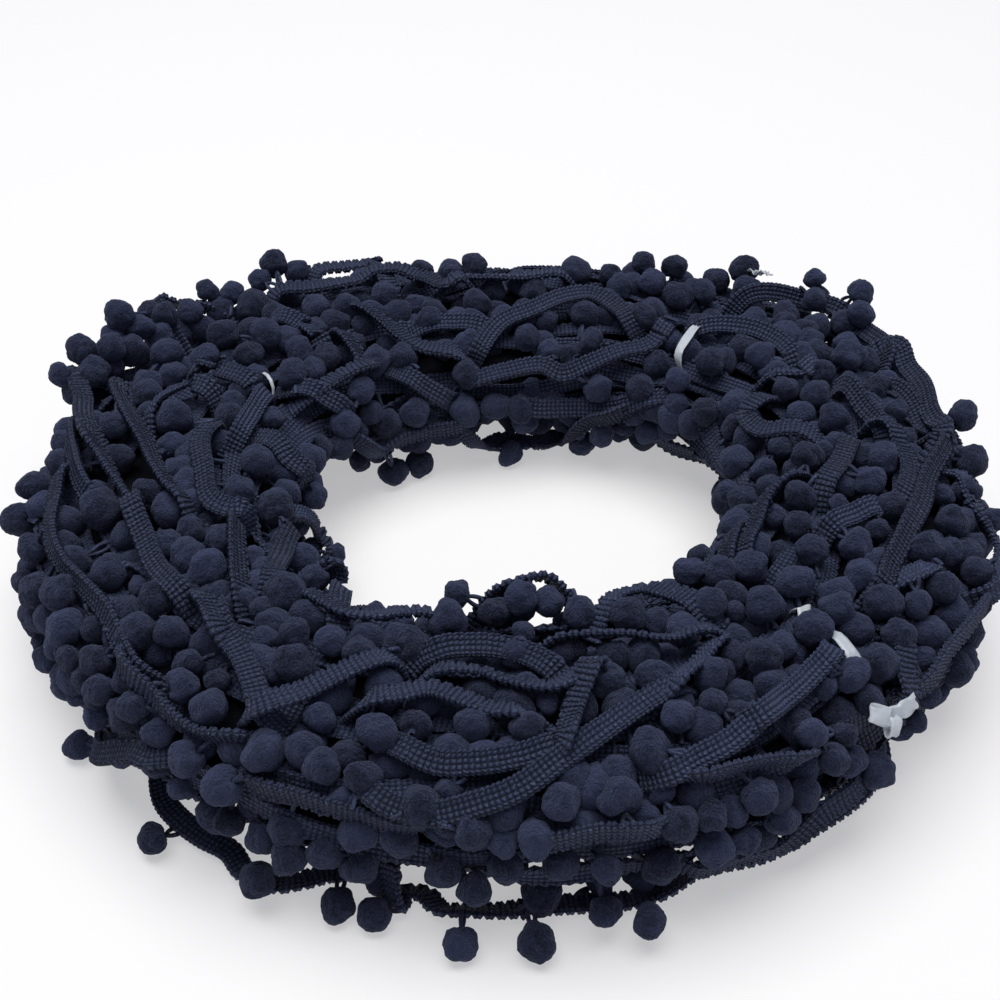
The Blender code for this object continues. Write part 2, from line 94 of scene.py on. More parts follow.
SEEN_TURNS = (
    Turn("long_front_left", ((183.3, 53, 1.5), (188.9, 51, 1.5), (196.2, 49, 1.5), (201.6, 51, 1.5),
         (207.3, 56, 1.5), (212.9, 58, 1.5), (217.7, 54, 1.5), (222.4, 50, 1.5)), 36),
    Turn("left_under_edge", ((220.7, 50, 0.5), (226, 46, 0.5), (230, 42, 0.5), (233.9, 41, 0.5),
         (238.1, 46, 0.5)), 56),
    Turn("long_front", ((254.9, 40, 1.5), (257.6, 36, 1.5), (261.3, 35, 1.5), (266.3, 41, 1.5),
         (270.5, 47, 1.5), (275.1, 56, 1.5), (280.4, 64, 1.5), (286.3, 71, 1.5), (291.8, 75, 1.5)), 0),
    Turn("long_front_end", ((291.8, 75, 1.5), (297.8, 84, 1.5), (301.8, 89, 1.5)), -44),
    Turn("left_crest", ((160.4, 36, 8.6), (166.5, 45, 2), (176.3, 62, 2)), -50),
    Turn("left_crest_low", ((175.9, 61, 1.5), (182.1, 70, 1.5), (188.5, 76, 1.5), (195, 82, 1.5)), -58),
    Turn("left_crest_broad", ((195.4, 82, 2), (202.8, 84, 2), (209.9, 83, 2), (216.3, 83, 2)), 26),
    Turn("left_side", ((171.8, 44, 1), (180.4, 57, 1), (189, 64, 1)), 46),
    Turn("left_shoulder", ((163.6, 58, 1), (171.9, 73, 1), (178.6, 84, 1), (185.4, 91, 1), (191.1, 96, 1),
         (195.5, 101, 1)), -52),
    Turn("left_loop", ((171.6, 82, 2), (165.6, 83, 2), (161.8, 88, 2), (162.4, 97, 2)), 42),
    Turn("left_upright", ((173.2, 107, 2), (178.8, 105, 2), (188, 108, 2), (195.5, 110, 2),
         (199.3, 116, 2), (200.2, 122, 2)), 24),
    Turn("left_top", ((154.6, 83, 1), (154.4, 94, 1), (155.3, 108, 1)), 30),
    Turn("left_tie_strip", ((171.9, 117, 1), (164.6, 118, 1), (157.6, 118, 1)), -34),
    Turn("left_inner", ((202.5, 119, 1), (212.9, 112, 1), (220.6, 103, 1)), -48),
    Turn("fold_down", ((222.7, 87, 3), (227.5, 80, 3), (232.6, 74, 3), (237.1, 66, 3), (239.6, 60, 3)), 2),
    Turn("fold_across", ((239.2, 59, 3), (241.9, 67, 3), (245.2, 78, 3), (250.7, 92, 3)), -9),
    Turn("fold_curl", ((220.4, 86, 2), (223.7, 84, 2), (227.8, 79, 2)), -36),
    Turn("inner_stub", ((199.2, 150, 0), (210.8, 138, 0), (220.5, 118, 0)), 10),
    Turn("hole_left_rope", ((191.5, 156, 1), (183.3, 186, 1), (187.5, 197, 6.6)), 14),
    Turn("hole_left_upright", ((220.4, 147, 5.4), (223.8, 155, 0), (236.9, 115, 0)), -18),
    Turn("hole_front_rope", ((228.1, 118, 1), (234.3, 115, 1), (239, 113, 1), (243.6, 117, 1),
         (247.1, 125, 1), (252.5, 129, 1)), -18),
    Turn("crest_broad", ((257.3, 101, 1), (262.5, 105, 1), (267.6, 105, 1), (272.6, 101, 1),
         (276.3, 92, 1)), 42),
    Turn("crest_rope", ((258.9, 91, 2), (264.8, 92, 2), (268.6, 88, 2), (275, 83, 2), (279.6, 87, 2),
         (282.3, 92, 2)), -30),
    Turn("middle_rope", ((251.4, 75, 2), (254.7, 78, 2), (258.5, 81, 2), (262.7, 78, 2), (266.8, 74, 2),
         (270.7, 73, 2)), -32),
    Turn("middle_broad", ((256.7, 58, 0), (261, 54, 0), (264.9, 55, 0), (270.6, 58, 0),
         (274.4, 61, 0)), 14),
    Turn("upright_stub", ((281.4, 89, 2), (279, 80, 2), (277.3, 71, 2), (276, 63, 2)), -32),
    Turn("arch", ((261.3, 152, 1), (269.2, 140, 7), (279, 140, 9), (283.8, 141, 4.2),
         (284.9, 142, 1)), 0),
    Turn("crest_hump", ((291.2, 125, 2), (300, 130, 2), (303.6, 122, 2), (305.1, 109, 2)), -1),
    Turn("crest_face", ((278.3, 108, 1.5), (288.7, 105, 1.5), (294.7, 99, 1.5), (301.4, 93, 1.5)), -38),
    Turn("broad_front", ((286.7, 46, 2.5), (290.7, 49, 2.5), (294.7, 51, 2.5), (299.5, 55, 2.5)), 0),
    Turn("broad_front_end", ((298.8, 55, 2.5), (304.5, 58, 2.5), (309.7, 62, 2.5), (313.6, 65, 2.5)), 4),
    Turn("low_front", ((241.6, 29, -1), (247.4, 30, -1), (251.8, 29, -1), (258.2, 27, -1)), 36),
    Turn("low_front_right", ((273.3, 24, 1), (278.7, 26, 1), (284.4, 24, 1)), 20),
    Turn("low_rope", ((290, 41, 1), (294.9, 40, 1), (299.1, 38, 1), (302.4, 35, 1)), 72),
    Turn("right_broad", ((2.6, 55, 2.5), (-5.3, 64, 2.5), (-12.5, 67, 2.5), (-19.8, 71, 2.5),
         (-26.9, 72, 2.5), (-31.2, 70, 2.5)), 34),
    Turn("right_edge_strip", ((16.5, 85, 2), (10.2, 83, 2), (3.9, 80, 2)), -50),
    Turn("right_edge_rope", ((4.2, 79, 1.5), (-0.2, 75, 1.5), (-5.3, 72, 1.5), (-12, 74, 1.5)), 24),
    Turn("right_face", ((17.1, 57, -1.5), (8.7, 56, -1.5), (2.8, 52, -1.5)), -60),
    Turn("right_outer_back", ((48.1, 64, 2.5), (43.5, 44, 2.5), (38, 42, 3.9), (32.4, 40, 2.5),
         (25.4, 47, 2.5)), -80),
    Turn("right_outer", ((25.4, 47, 2.5), (18.7, 48, 2.5), (10.8, 53, 2.5), (4.1, 56, 2.5)), -60),
    Turn("right_top", ((48.5, 104, 1.5), (41.8, 96, 1.5), (36.2, 93, 1.5), (29.3, 94, 1.5)), -39),
    Turn("right_rope", ((26.4, 110, 1), (24.1, 99, 1), (25.3, 89, 1)), 16),
    Turn("right_loop", ((20.4, 121, 1), (17.9, 131, 1), (10.9, 128, 1), (6.8, 113, 1)), -6),
    Turn("right_ribs", ((2.1, 93, 1), (-4.2, 98, 1), (-10.6, 104, 1)), 12),
    Turn("right_stub", ((338.9, 96, 1), (342.6, 90, 1), (345.1, 84, 1)), 34),
    Turn("hole_right_rope", ((350.9, 119, 1), (343.8, 125, 1), (334.6, 124, 1), (326.5, 121, 1)), -31),
    Turn("hole_right_edge", ((335.1, 134, 0), (322.5, 125, 0)), -35),
    Turn("right_low_stub", ((331.6, 66, 1), (336.4, 59, 1)), -32),
    Turn("right_upright", ((323.9, 52, 1), (320.7, 42, 1), (318.6, 31, 1)), -2),
    Turn("right_rim", ((322.1, 30, 1), (327.6, 33, 1), (335.1, 30, 1), (341.1, 24, 1)), 40),
    Turn("right_rim_edge", ((340, 28, 2), (346.4, 24, 2), (349.8, 33, 2), (352.4, 44, 2),
         (356.3, 50, 2)), 12),
    Turn("back_high", ((99.4, 132, 1.5), (95.1, 121, 1.5), (91.3, 114, 1.5), (84.3, 108, 1.5),
         (78.2, 99, 1.5), (73, 95, 1.5), (67.4, 102, 1.5), (62.6, 111, 1.5)), -24),
    Turn("back_middle", ((100.7, 148, 1.5), (91.8, 145, 1.5), (81, 142, 1.5), (74.1, 147, 1.5),
         (66.9, 140, 1.5), (60.4, 131, 1.5), (54.9, 123, 1.5), (54.4, 107, 1.5)), 16),
    Turn("back_low", ((82.6, 172, 0.5), (70.2, 174, 0.5), (57.9, 170, 0.5), (48.4, 157, 0.5)), 24),
    Turn("back_under", ((106.1, 193, 1), (93, 230, 1), (83.8, 220, 1), (76, 233, 1), (66.5, 190, 1),
         (55.1, 173, 1)), -24),
    Turn("back_rim", ((101.2, 80, 1.5), (95.8, 80, 1.5), (88.1, 80, 1.5), (80.2, 79, 1.5)), 12),
    Turn("back_rim_loop", ((121.3, 44, 3.4), (116.6, 44, 3.2), (112.1, 42, 2.9), (112.7, 71, 2)), -28),
    Turn("back_rim_left", ((129.8, 56, 1.5), (125.1, 61, 1.5), (119.2, 63, 1.5), (113.2, 66, 1.5),
         (106.8, 74, 1.5), (103.1, 86, 1.5), (99.6, 85, 1.5)), -4),
    Turn("back_cross", ((121.8, 91, 2), (119.1, 106, 2), (117.2, 118, 2), (113.8, 127, 2),
         (106.4, 132, 2)), 22),
    Turn("back_twist", ((129.4, 107, 1.5), (130.3, 120, 1.5), (131.9, 129, 1.5)), -26),
    Turn("back_twist_low", ((131.2, 130, 1.5), (139.2, 131, 1.5), (147, 132, 1.5)), 22),
    Turn("back_stub", ((148.1, 128, 1), (146.6, 138, 1), (144.3, 148, 1)), -4),
    Turn("back_stub_right", ((121.4, 141, 1.5), (117.2, 150, 1.5), (111.9, 159, 1.5)), 10),
    Turn("back_left_stub", ((171.5, 130, 1), (175.8, 140, 1), (176.6, 151, 1)), 34),
    Turn("back_inner_edge", ((144.6, 172, 1), (136, 194, 1), (129.1, 189, 1), (120.2, 186, 1),
         (107.2, 183, 1)), -22),
    Turn("back_left_ribs", ((135.4, 81, 1), (133.8, 90, 1), (133.9, 104, 1)), -18),
    Turn("back_rim_far", ((144.5, 41, 12.6), (142.3, 41, 7.7), (139.1, 42, 2.4)), 14),
    Turn("back_patch", ((109.7, 111, 0), (103.4, 112, 0), (97.1, 116, 0)), -16),
    Turn("low_left", ((214.2, -33, 0), (224.8, 8, 0), (228.8, 17, 0)), -50),
    Turn("low_right", ((290.9, -30, -0.5), (295.7, -29, -0.5), (300.6, -28, 0.3), (305, -12, -0.5),
         (310.1, -6, -0.5)), -26),
    Turn("floor_start", ((219.5, -55, -1), (223.7, -48, 2), (227.7, -45, 3), (232.1, -45, 4),
         (235.9, -45, 4), (239.1, -42, 6), (242.4, -44, 6), (244.8, -47, 4), (247.5, -52, 2),
         (252, -56, 0)), 30, 14),
    Turn("floor_main", ((256.5, -45, 4), (257.2, -50, 2), (259.6, -50, 2), (261.7, -45, 4),
         (264.5, -45, 4), (268.4, -46, 4), (273, -47, 3), (277.6, -47, 3), (282.8, -46, 4), (287.1, -46, 4),
         (292.7, -49, 2), (300.3, -46, 3), (306.1, -46, 3), (316.8, -47, 4), (322.5, -50, 3)), 6, 8),
)

# Turns on the sides that no photograph shows, with pompoms hung at their own pitch.
UNSEEN_TURNS = (
    Turn("back_out_1", ((164, 28, 0), (153, 12, 0), (142, 4, 0)), 24, 22),
    Turn("back_out_2", ((147, -24, 1), (138, -2, 1), (127, 18, 0), (118, 26, 0)), -34, 22),
    Turn("back_out_3", ((127, -32, 1), (117, -12, 1), (108, -2, 1), (98, -16, 1)), 40, 22),
    Turn("back_out_4", ((112, 18, 0), (101, 10, 1), (91, 8, 1), (84, -10, 1)), -20, 22),
    Turn("back_out_5", ((88, 12, 0), (78, 10, 0), (70, 4, 1), (60, -14, 1)), 30, 22),
    Turn("back_out_6", ((76, -34, 1), (66, -22, 1), (57, 2, 1), (52, 16, 0)), -38, 22),
    Turn("left_low", ((200, -24, -2), (190, -10, -1), (181, -20, 0)), -30, 22),
    Turn("left_out_1", ((176, 2, 0), (169, -14, 0), (159, -28, 0)), 28, 22),
    Turn("left_out_2", ((166, 14, 0), (158, 2, 0), (149, -14, 1)), -24, 22),
    Turn("right_low_1", ((34, -30, 0), (23, -14, 0), (12, -26, 0)), 32, 22),
    Turn("right_low_2", ((8, -8, 0), (-2, -24, -1), (-12, -18, -2), (-24, -22, -3)), -26, 22),
    Turn("right_out_1", ((50, 14, 1), (41, 0, 1), (32, -12, 1)), -36, 22),
    Turn("right_out_2", ((34, 14, 0), (24, 2, 1), (15, 10, 0), (8, 0, 0)), 28, 22),
    Turn("hole_front_1", ((206, 172, 1), (218, 186, 1), (231, 172, 1)), 30, 22),
    Turn("hole_front_2", ((228, 198, 1), (240, 182, 1), (254, 168, 1), (264, 182, 1)), -28, 22),
    Turn("hole_front_3", ((258, 204, 1), (270, 192, 1), (282, 174, 1), (294, 184, 1)), 34, 22),
    Turn("hole_front_4", ((288, 202, 1), (302, 184, 1), (317, 174, 1)), -30, 22),
    Turn("hole_right", ((330, 152, -3), (346, 164, -4), (362, 152, -4), (378, 164, -4), (392, 152, -4)), 8),
)

# The pompoms that are placed one by one: turn angle, section angle and lift of the middle, and radius.
# The others are hung at a pitch, and some of them show between these.
SEEN_POMPOMS = np.array([
    (266.8, 141, 0.4, 4.4), (272.2, 140, 3.2, 4.7), (278.8, 140, 2.2, 4.5),
    (1.4, 39, 1.6, 5.1), (1.6, 105, -3.2, 3.3), (4.6, 98, -3.2, 3.3), (5.7, 124, -3.2, 3.8),
    (8.7, 150, -3.2, 5.3), (9.4, 97, -0.6, 4.7), (11, 34, 4.9, 4.7), (11.7, 64, -3.2, 3.9),
    (17, 100, -0.6, 4.8), (18.3, 63, -3.2, 4), (21.2, 110, -0.6, 4.2), (23.2, 88, -0.6, 4.6),
    (25.6, 69, -0.6, 5.3), (28.6, 89, -0.6, 4.6), (29.8, 147, -0.6, 4.9), (32.3, 105, -0.6, 5),
    (34, 44, 6, 4.6), (35.6, 41, 1.6, 5.2), (35.8, 44, 11.9, 4.7), (38.6, 104, -3.2, 4.7),
    (39.1, 122, -0.6, 5.3), (39.7, 68, -3.2, 4.2), (40.6, 153, -3.2, 4.1), (41, 46, 4, 4.6),
    (42.2, 141, -0.6, 4.4), (42.5, 46, 9.5, 3.7), (50.8, 50, -0.6, 5.4), (51.4, 153, -0.6, 5.1),
    (52.1, 133, -3.2, 4.8), (52.7, 179, -3.2, 4.2), (53.5, 44, 6.9, 4.9), (55.4, 197, -3.2, 3.3),
    (55.6, 73, -0.6, 5.5), (57, 42, -0.3, 4.5), (57.6, 81, -0.6, 5), (60.5, 200, -0.6, 4.6),
    (60.7, 107, -0.6, 5.5), (63.2, 52, 0.8, 4.9), (63.5, 157, -0.6, 5.1), (64, 75, -0.6, 5),
    (68.1, 53, 0.6, 4.2), (68.7, 220, 0.9, 5), (69, 84, -0.6, 4.3), (69, 128, -0.6, 4.8),
    (71.7, 73, 0.1, 4.2), (73.5, 135, -3.2, 3.9), (78.2, 71, -0.6, 5.4), (79.8, 132, -3.2, 4.2),
    (81.9, 110, -3.2, 3.9), (84.8, 126, -0.6, 4.8), (85.7, 82, -3.2, 4.7), (86.5, 174, -0.6, 4.8),
    (90.1, 220, 4.8, 4.3), (94.3, 171, -0.6, 4.8), (96.3, 63, 0.3, 4.9), (97.3, 98, -0.6, 4.9),
    (100.6, 70, 0.1, 3.4), (101.9, 127, -0.6, 5.1), (103.6, 145, -0.6, 5.1), (105.7, 63, 0.3, 4.2),
    (105.9, 172, -0.6, 5.4), (106.9, 126, -3.2, 3.9), (109, 89, -3.2, 4), (109.1, 107, -0.6, 4.6),
    (114.5, 81, -0.6, 5), (120.4, 129, -0.6, 5.1), (120.4, 219, 4.3, 4.9), (122, 166, -0.6, 5.1),
    (123.3, 86, -0.6, 5.2), (124.2, 45, 5.7, 4.5), (127, 128, -0.6, 5.1), (127.3, 79, -0.6, 5.2),
    (127.5, 46, 9.6, 4.5), (129, 219, 4.6, 4.9), (129.3, 45, 7, 4.2), (134.2, 53, -0.6, 5.5),
    (135.1, 158, -3.2, 4.1), (135.2, 114, -3.2, 4.7), (136, 45, 3, 4.5), (136.3, 142, -0.6, 4.7),
    (137.1, 216, -3.2, 3.9), (137.6, 42, 0.5, 5), (137.9, 44, 7.2, 4.1), (139.8, 108, -0.6, 4.7),
    (140.9, 88, -0.6, 5.4), (141.3, 40, -1.2, 4.9), (142, 43, 4, 4.6), (144.5, 72, -0.6, 5.4),
    (144.6, 37, 1, 5.5), (145.5, 158, -0.6, 5.3), (145.9, 40, 10.1, 4.4), (146, 44, 8, 4.4),
    (146.7, 119, -0.6, 5.5), (146.8, 93, -0.6, 5), (148, 42, 4, 4.7), (148, 172, -0.6, 4.7),
    (150, 44, 8, 4.8), (152.1, 45, 14.7, 4.6), (153, 40, 10, 4.7), (153, 60, -0.6, 5.3),
    (154.4, 42, 3.7, 5.5), (156, 42, 6, 4.9), (156.3, 38, 4.1, 5.5), (158.5, 39, 11, 4.8), (160, 38, 5, 4.9),
    (161.1, 127, -3.2, 3.9), (161.4, 107, -3.2, 4.5), (162, 30, 4, 4.8), (162.5, 35, 9.9, 4.3),
    (163.4, 70, -3.2, 5.1), (169.5, 158, -3.2, 4.2), (170.9, 90, -0.6, 5.5), (173, 67, -0.6, 4.7),
    (174.2, 173, -0.6, 4.2), (174.7, 45, -0.6, 4.7), (177.3, 93, -3.2, 4.3), (180.7, 128, -0.6, 4.9),
    (181.9, 33, -0.6, 5.2), (184.9, 19, 0.8, 4.9), (185.7, 197, 0.1, 3.5), (186.3, 197, 7.6, 3.3),
    (191.1, 87, -0.6, 4.1), (191.5, 123, -0.6, 4.7), (192.8, 69, -0.6, 5.5), (193.7, 35, -0.6, 4.6),
    (194.1, 9, -1.6, 3.9), (194.9, 142, -0.6, 5.3), (198, 2, -3.2, 4.7), (200.8, 31, -0.6, 4.8),
    (201.1, 103, -3.2, 4.8), (203, -11, -2.1, 4.3), (204.5, 45, -0.6, 5.2), (204.7, 115, -3.2, 4.6),
    (207.5, 98, -3.2, 5.5), (209.6, 5, -3.2, 3.9), (210.3, 40, -0.6, 5.4), (211.1, -39, 6.7, 4.2),
    (211.4, 46, -3.2, 4.3), (212.6, 30, -0.6, 3.6), (212.9, 124, -3.2, 4), (213.2, 5, -3.2, 3.3),
    (213.6, 75, -3.2, 5.5), (213.7, 98, -0.6, 5.4), (213.9, 124, -3.2, 4), (216.5, 40, -0.6, 4.2),
    (217.3, 59, -0.6, 5.5), (218.3, 11, -3.2, 3.8), (219, 31, -0.6, 4.2), (220.1, 143, -0.6, 4.3),
    (221.2, 69, -0.6, 4.7), (221.3, 103, -3.2, 4.3), (224.6, 36, -0.6, 4.4), (225.3, 106, -3.2, 4.1),
    (225.8, 64, -3.2, 3.9), (226.2, 114, -0.6, 5.5), (228.3, -36, 9.5, 4.7), (228.3, 29, -3.2, 4.1),
    (228.4, 54, -0.6, 4.6), (231, 63, -3.2, 3.6), (231.2, 91, -3.2, 3.7), (231.8, 1, -3.2, 3.4),
    (233.3, 51, -0.6, 5.5), (233.7, 29, -0.6, 4.8), (234.6, 96, -0.6, 4.2), (238, -10, -3.2, 4.4),
    (238.1, 82, -0.6, 5.1), (238.4, 24, -0.6, 5.2), (239.2, 143, -3.2, 3.3), (240.7, 99, -0.6, 4.4),
    (241.6, 45, -0.6, 5.4), (242, -12, -3.2, 4.3), (242.2, -30, 5.3, 4.9), (245.1, 98, -0.6, 4.4),
    (245.5, 64, -3.2, 4.3), (245.9, -10, -0.6, 4.5), (247, -66, -3.6, 4.2), (248.6, 46, -0.6, 4.9),
    (249.6, -6, -3.2, 4.7), (250.7, -40, 6.1, 4.5), (251.4, 32, -3.2, 3.9), (252.7, 105, -0.6, 5.4),
    (253.5, 44, -0.6, 4.8), (253.6, 62, -0.6, 4.9), (254.2, -51, -0.6, 4.9), (254.9, -40, 6.3, 4.5),
    (255.9, 127, -0.6, 5.3), (255.9, 139, 5.3, 3.9), (257.4, 69, -3.2, 4.2), (260, 37, -0.6, 5.2),
    (262.6, -5, -3.2, 4.4), (262.6, 43, -3.2, 3.3), (264.5, -35, 10.1, 4.4), (264.8, 71, -0.6, 4.7),
    (265.4, 29, -0.6, 5), (265.6, -12, -0.6, 4.2), (269.1, 2, -3.2, 4.2), (269.1, 21, -3.2, 4.4),
    (270.5, 104, -0.6, 4.1), (271.8, 141, 2.2, 4.7), (271.9, 68, -0.6, 4.7), (271.9, 123, -3.2, 3.5),
    (272.1, 24, -0.6, 5), (272.3, -35, 10.2, 5.2), (273.1, -41, -0.6, 5.1), (274.6, 81, -3.2, 3.3),
    (274.8, 2, -3.2, 4.4), (275.1, 40, -0.6, 5), (276, 99, -3.2, 4.1), (279.5, 0, -0.7, 4.2),
    (279.6, -31, 3.7, 4.3), (280.5, -52, -0.3, 4.6), (281, 40, -0.6, 5.5), (283.8, 86, -0.6, 4.8),
    (283.9, -29, 8.1, 4.5), (285, 130, -0.6, 4.8), (285.5, -51, -0, 5.1), (285.8, -13, -3.2, 4.7),
    (286, 54, -0.6, 5.5), (286.1, 37, -3.2, 3.3), (287, 23, -0.6, 4.8), (290.5, 83, -0.6, 4.8),
    (290.8, 23, -0.6, 4.2), (290.8, 65, -0.6, 4.5), (291.6, 0, -0.6, 4.7), (293.4, 119, -0.6, 5.1),
    (294.3, 0, 0.3, 3.8), (295.5, 65, -0.6, 4), (296.6, 25, -0.6, 4.9), (298, 116, -3.2, 4),
    (298.1, 78, -0.6, 4.8), (299.8, 0, -2, 4.6), (300.8, 80, -3.2, 3.4), (304, 84, -3.2, 3.9),
    (304.7, 42, -0.6, 4.5), (305.8, 75, -0.6, 5.1), (307.2, 23, -3.2, 4.3), (307.3, 107, -0.6, 5.1),
    (309.4, 32, -3.2, 3.3), (311, 78, -3.2, 3.7), (311, 104, -3.2, 3.3), (311.1, 55, -3.2, 3.7),
    (313.1, -3, -0.6, 4.5), (314, 53, -0.6, 4.9), (314.3, 96, -0.6, 5.1), (314.7, 40, -3.2, 4.2),
    (315.7, 75, -0.6, 5.2), (317.1, 138, -0.6, 4.5), (318.9, 50, -0.6, 5), (319.3, 123, -0.6, 4.2),
    (322.3, 76, -0.6, 4.8), (322.6, -7, -3.2, 3.3), (323.1, 116, -0.6, 5.3), (323.2, 96, -0.6, 5.2),
    (324.1, 53, -0.6, 4.5), (324.3, 12, -3.2, 3.3), (325.2, 36, -3.2, 3.3), (327.1, 66, -0.6, 5.1),
    (329.5, 77, -0.6, 4.9), (329.9, 55, -0.6, 4.4), (330.9, 123, -3.2, 4.3), (331, 99, -0.6, 4.5),
    (331.2, 157, -1.3, 3.3), (335.1, 50, -0.6, 4.4), (335.5, -9, -2.1, 3.8), (335.6, 85, -0.6, 4.8),
    (337.6, 110, -0.6, 4), (338.9, 101, -3.2, 4.1), (339.3, 61, -0.6, 5), (341.9, 123, -3.2, 3.6),
    (342.2, 35, -0.6, 4.8), (342.2, 80, -3.2, 3.5), (342.7, 49, -3.2, 4), (346.2, 78, -0.6, 4.1),
    (346.5, 113, -0.6, 5.2), (346.7, 99, -3.2, 3.3), (347.3, 52, -0.6, 4.6), (347.7, 33, -3.2, 3.9),
    (350.5, 24, -3.2, 4.2), (351.4, 32, 2, 3.7), (351.7, 87, -0.6, 4.7), (353.9, 52, -3.2, 3.3),
    (354.3, 45, 1.1, 4.3), (357.3, 113, -0.6, 4.8), (358, 155, -0.6, 4), (358.2, 80, -0.6, 5.1),
    (358.9, 133, -3.2, 4),
], dtype=float)

# Places where the table or the hole shows past the ring: turn angle, section angle, lift, and how far (mm) no
# pompom but a seen one comes near.
CLEAR_PLACES = np.array([
    (92, 50, -1, 7), (170, 6, -1, 8), (225, -13, -2, 7),
    (30, 205, -2, 12), (15, 196, -2, 10), (40, 222, -2, 13), (60, 215, -2, 10), (352, 185, -3, 12),
    (340, 172, -3, 9),
    (68, 45, 2, 10), (75, 42, 2, 11), (83, 42, 2, 12), (91, 34, 2, 12), (100, 30, 2, 10), (110, 34, 2, 8),
    (142, 222, -2, 13), (152, 198, -2, 11), (168, 206, -2, 9), (226, 168, -2, 9), (235, 152, -2, 8),
    (296, 146, -2, 8), (319, -10, 2, 11), (326, -20, 2, 11), (345, -8, 2, 7), (205, -36, 1, 9),
    (212, -27, 1, 8), (219, -36, 1, 9), (222, -46, -2, 11), (229, -44, -2, 11), (236, -44, -2, 11),
    (246, -44, -2, 12), (256, -44, -2, 12), (266, -44, -2, 12), (276, -44, -2, 12), (286, -44, -2, 11),
    (308, -44, -2, 10), (175, 28, 2, 6),
], dtype=float)


def catmull_rom(before: Array, start: Array, end: Array, after: Array, share: Array) -> Array:
    """The value a share of the way from start to end, on the smooth curve through all four.

    Args:
        before: The value ahead of the stretch.
        start: The value at its start.
        end: The value at its end.
        after: The value beyond it.
        share: How far along the stretch, from 0 to 1.

    Returns:
        The value on the curve.
    """
    return 0.5 * (
        2 * start
        + (end - before) * share
        + (2 * before - 5 * start + 4 * end - after) * share**2
        + (3 * start - before - 3 * end + after) * share**3
    )


def unit(vectors: Array) -> Array:
    """Vectors scaled to a length of one."""
    return vectors / np.maximum(np.linalg.norm(vectors, axis=-1, keepdims=True), 1e-9)


def linear(hex_colour: str) -> tuple[float, float, float, float]:
    """The linear RGBA value of an sRGB hex colour.

    Args:
        hex_colour: Six hex digits after a hash sign.

    Returns:
        Red, green, blue and an alpha of one.
    """
    parts = [int(hex_colour[place:place + 2], 16) / 255 for place in (1, 3, 5)]
    made = [part / 12.92 if part <= 0.04045 else ((part + 0.055) / 1.055) ** 2.4 for part in parts]
    return (made[0], made[1], made[2], 1.0)


def add_node(tree: bpy.types.NodeTree, kind: str, settings: Mapping[str, object] | None = None,
             inputs: Mapping[object, object] | None = None) -> bpy.types.Node:
    """Adds one node with its settings, and sets or links its inputs.

    Args:
        tree: The material's node tree.
        kind: The node's type name.
        settings: Values for the node's own properties.
        inputs: For each socket name or number, a value or the output socket to link.

    Returns:
        The new node.
    """
    node = tree.nodes.new(kind)
    for name, value in (settings or {}).items():
        setattr(node, name, value)
    for socket, value in (inputs or {}).items():
        if isinstance(value, bpy.types.NodeSocket):
            tree.links.new(value, node.inputs[socket])
        else:
            node.inputs[socket].default_value = value
    return node


def new_finish(name: str, constants: Mapping[str, object]) -> tuple[
        bpy.types.Material, bpy.types.NodeTree, bpy.types.Node]:
    """Starts a finish with the values that are the same all over its surface.

    Args:
        name: The finish's name.
        constants: A value for each socket of the shader that no pattern drives.

    Returns:
        The material, its node tree and its shader.
    """
    made = bpy.data.materials.new(name)
    made.use_nodes = True
    shader = made.node_tree.nodes["Principled BSDF"]
    for socket, value in constants.items():
        shader.inputs[socket].default_value = value
    return made, made.node_tree, shader


def new_object(name: str, data: bpy.types.ID) -> bpy.types.Object:
    """Puts a new object in the scene.

    Args:
        name: Its name.
        data: Its mesh, lamp or camera.

    Returns:
        The object.
    """
    made = bpy.data.objects.new(name, data)
    bpy.context.scene.collection.objects.link(made)
    return made


def tube_faces(rings: int, sides: int, closed: bool = False) -> tuple[Whole, Whole, Whole]:
    """The faces between rings of vertices.

    Args:
        rings: How many rings there are.
        sides: How many vertices a ring has.
        closed: Whether the last ring joins the first.

    Returns:
        Rows of four vertex numbers, and grids of each face's ring and side.
    """
    ring, side = np.meshgrid(np.arange(rings if closed else rings - 1), np.arange(sides), indexing="ij")
    ahead, over = (ring + 1) % rings, (side + 1) % sides
    faces = np.stack([ring * sides + side, ahead * sides + side, ahead * sides + over, ring * sides + over],
                     axis=-1)
    return faces.reshape(-1, 4), ring, side


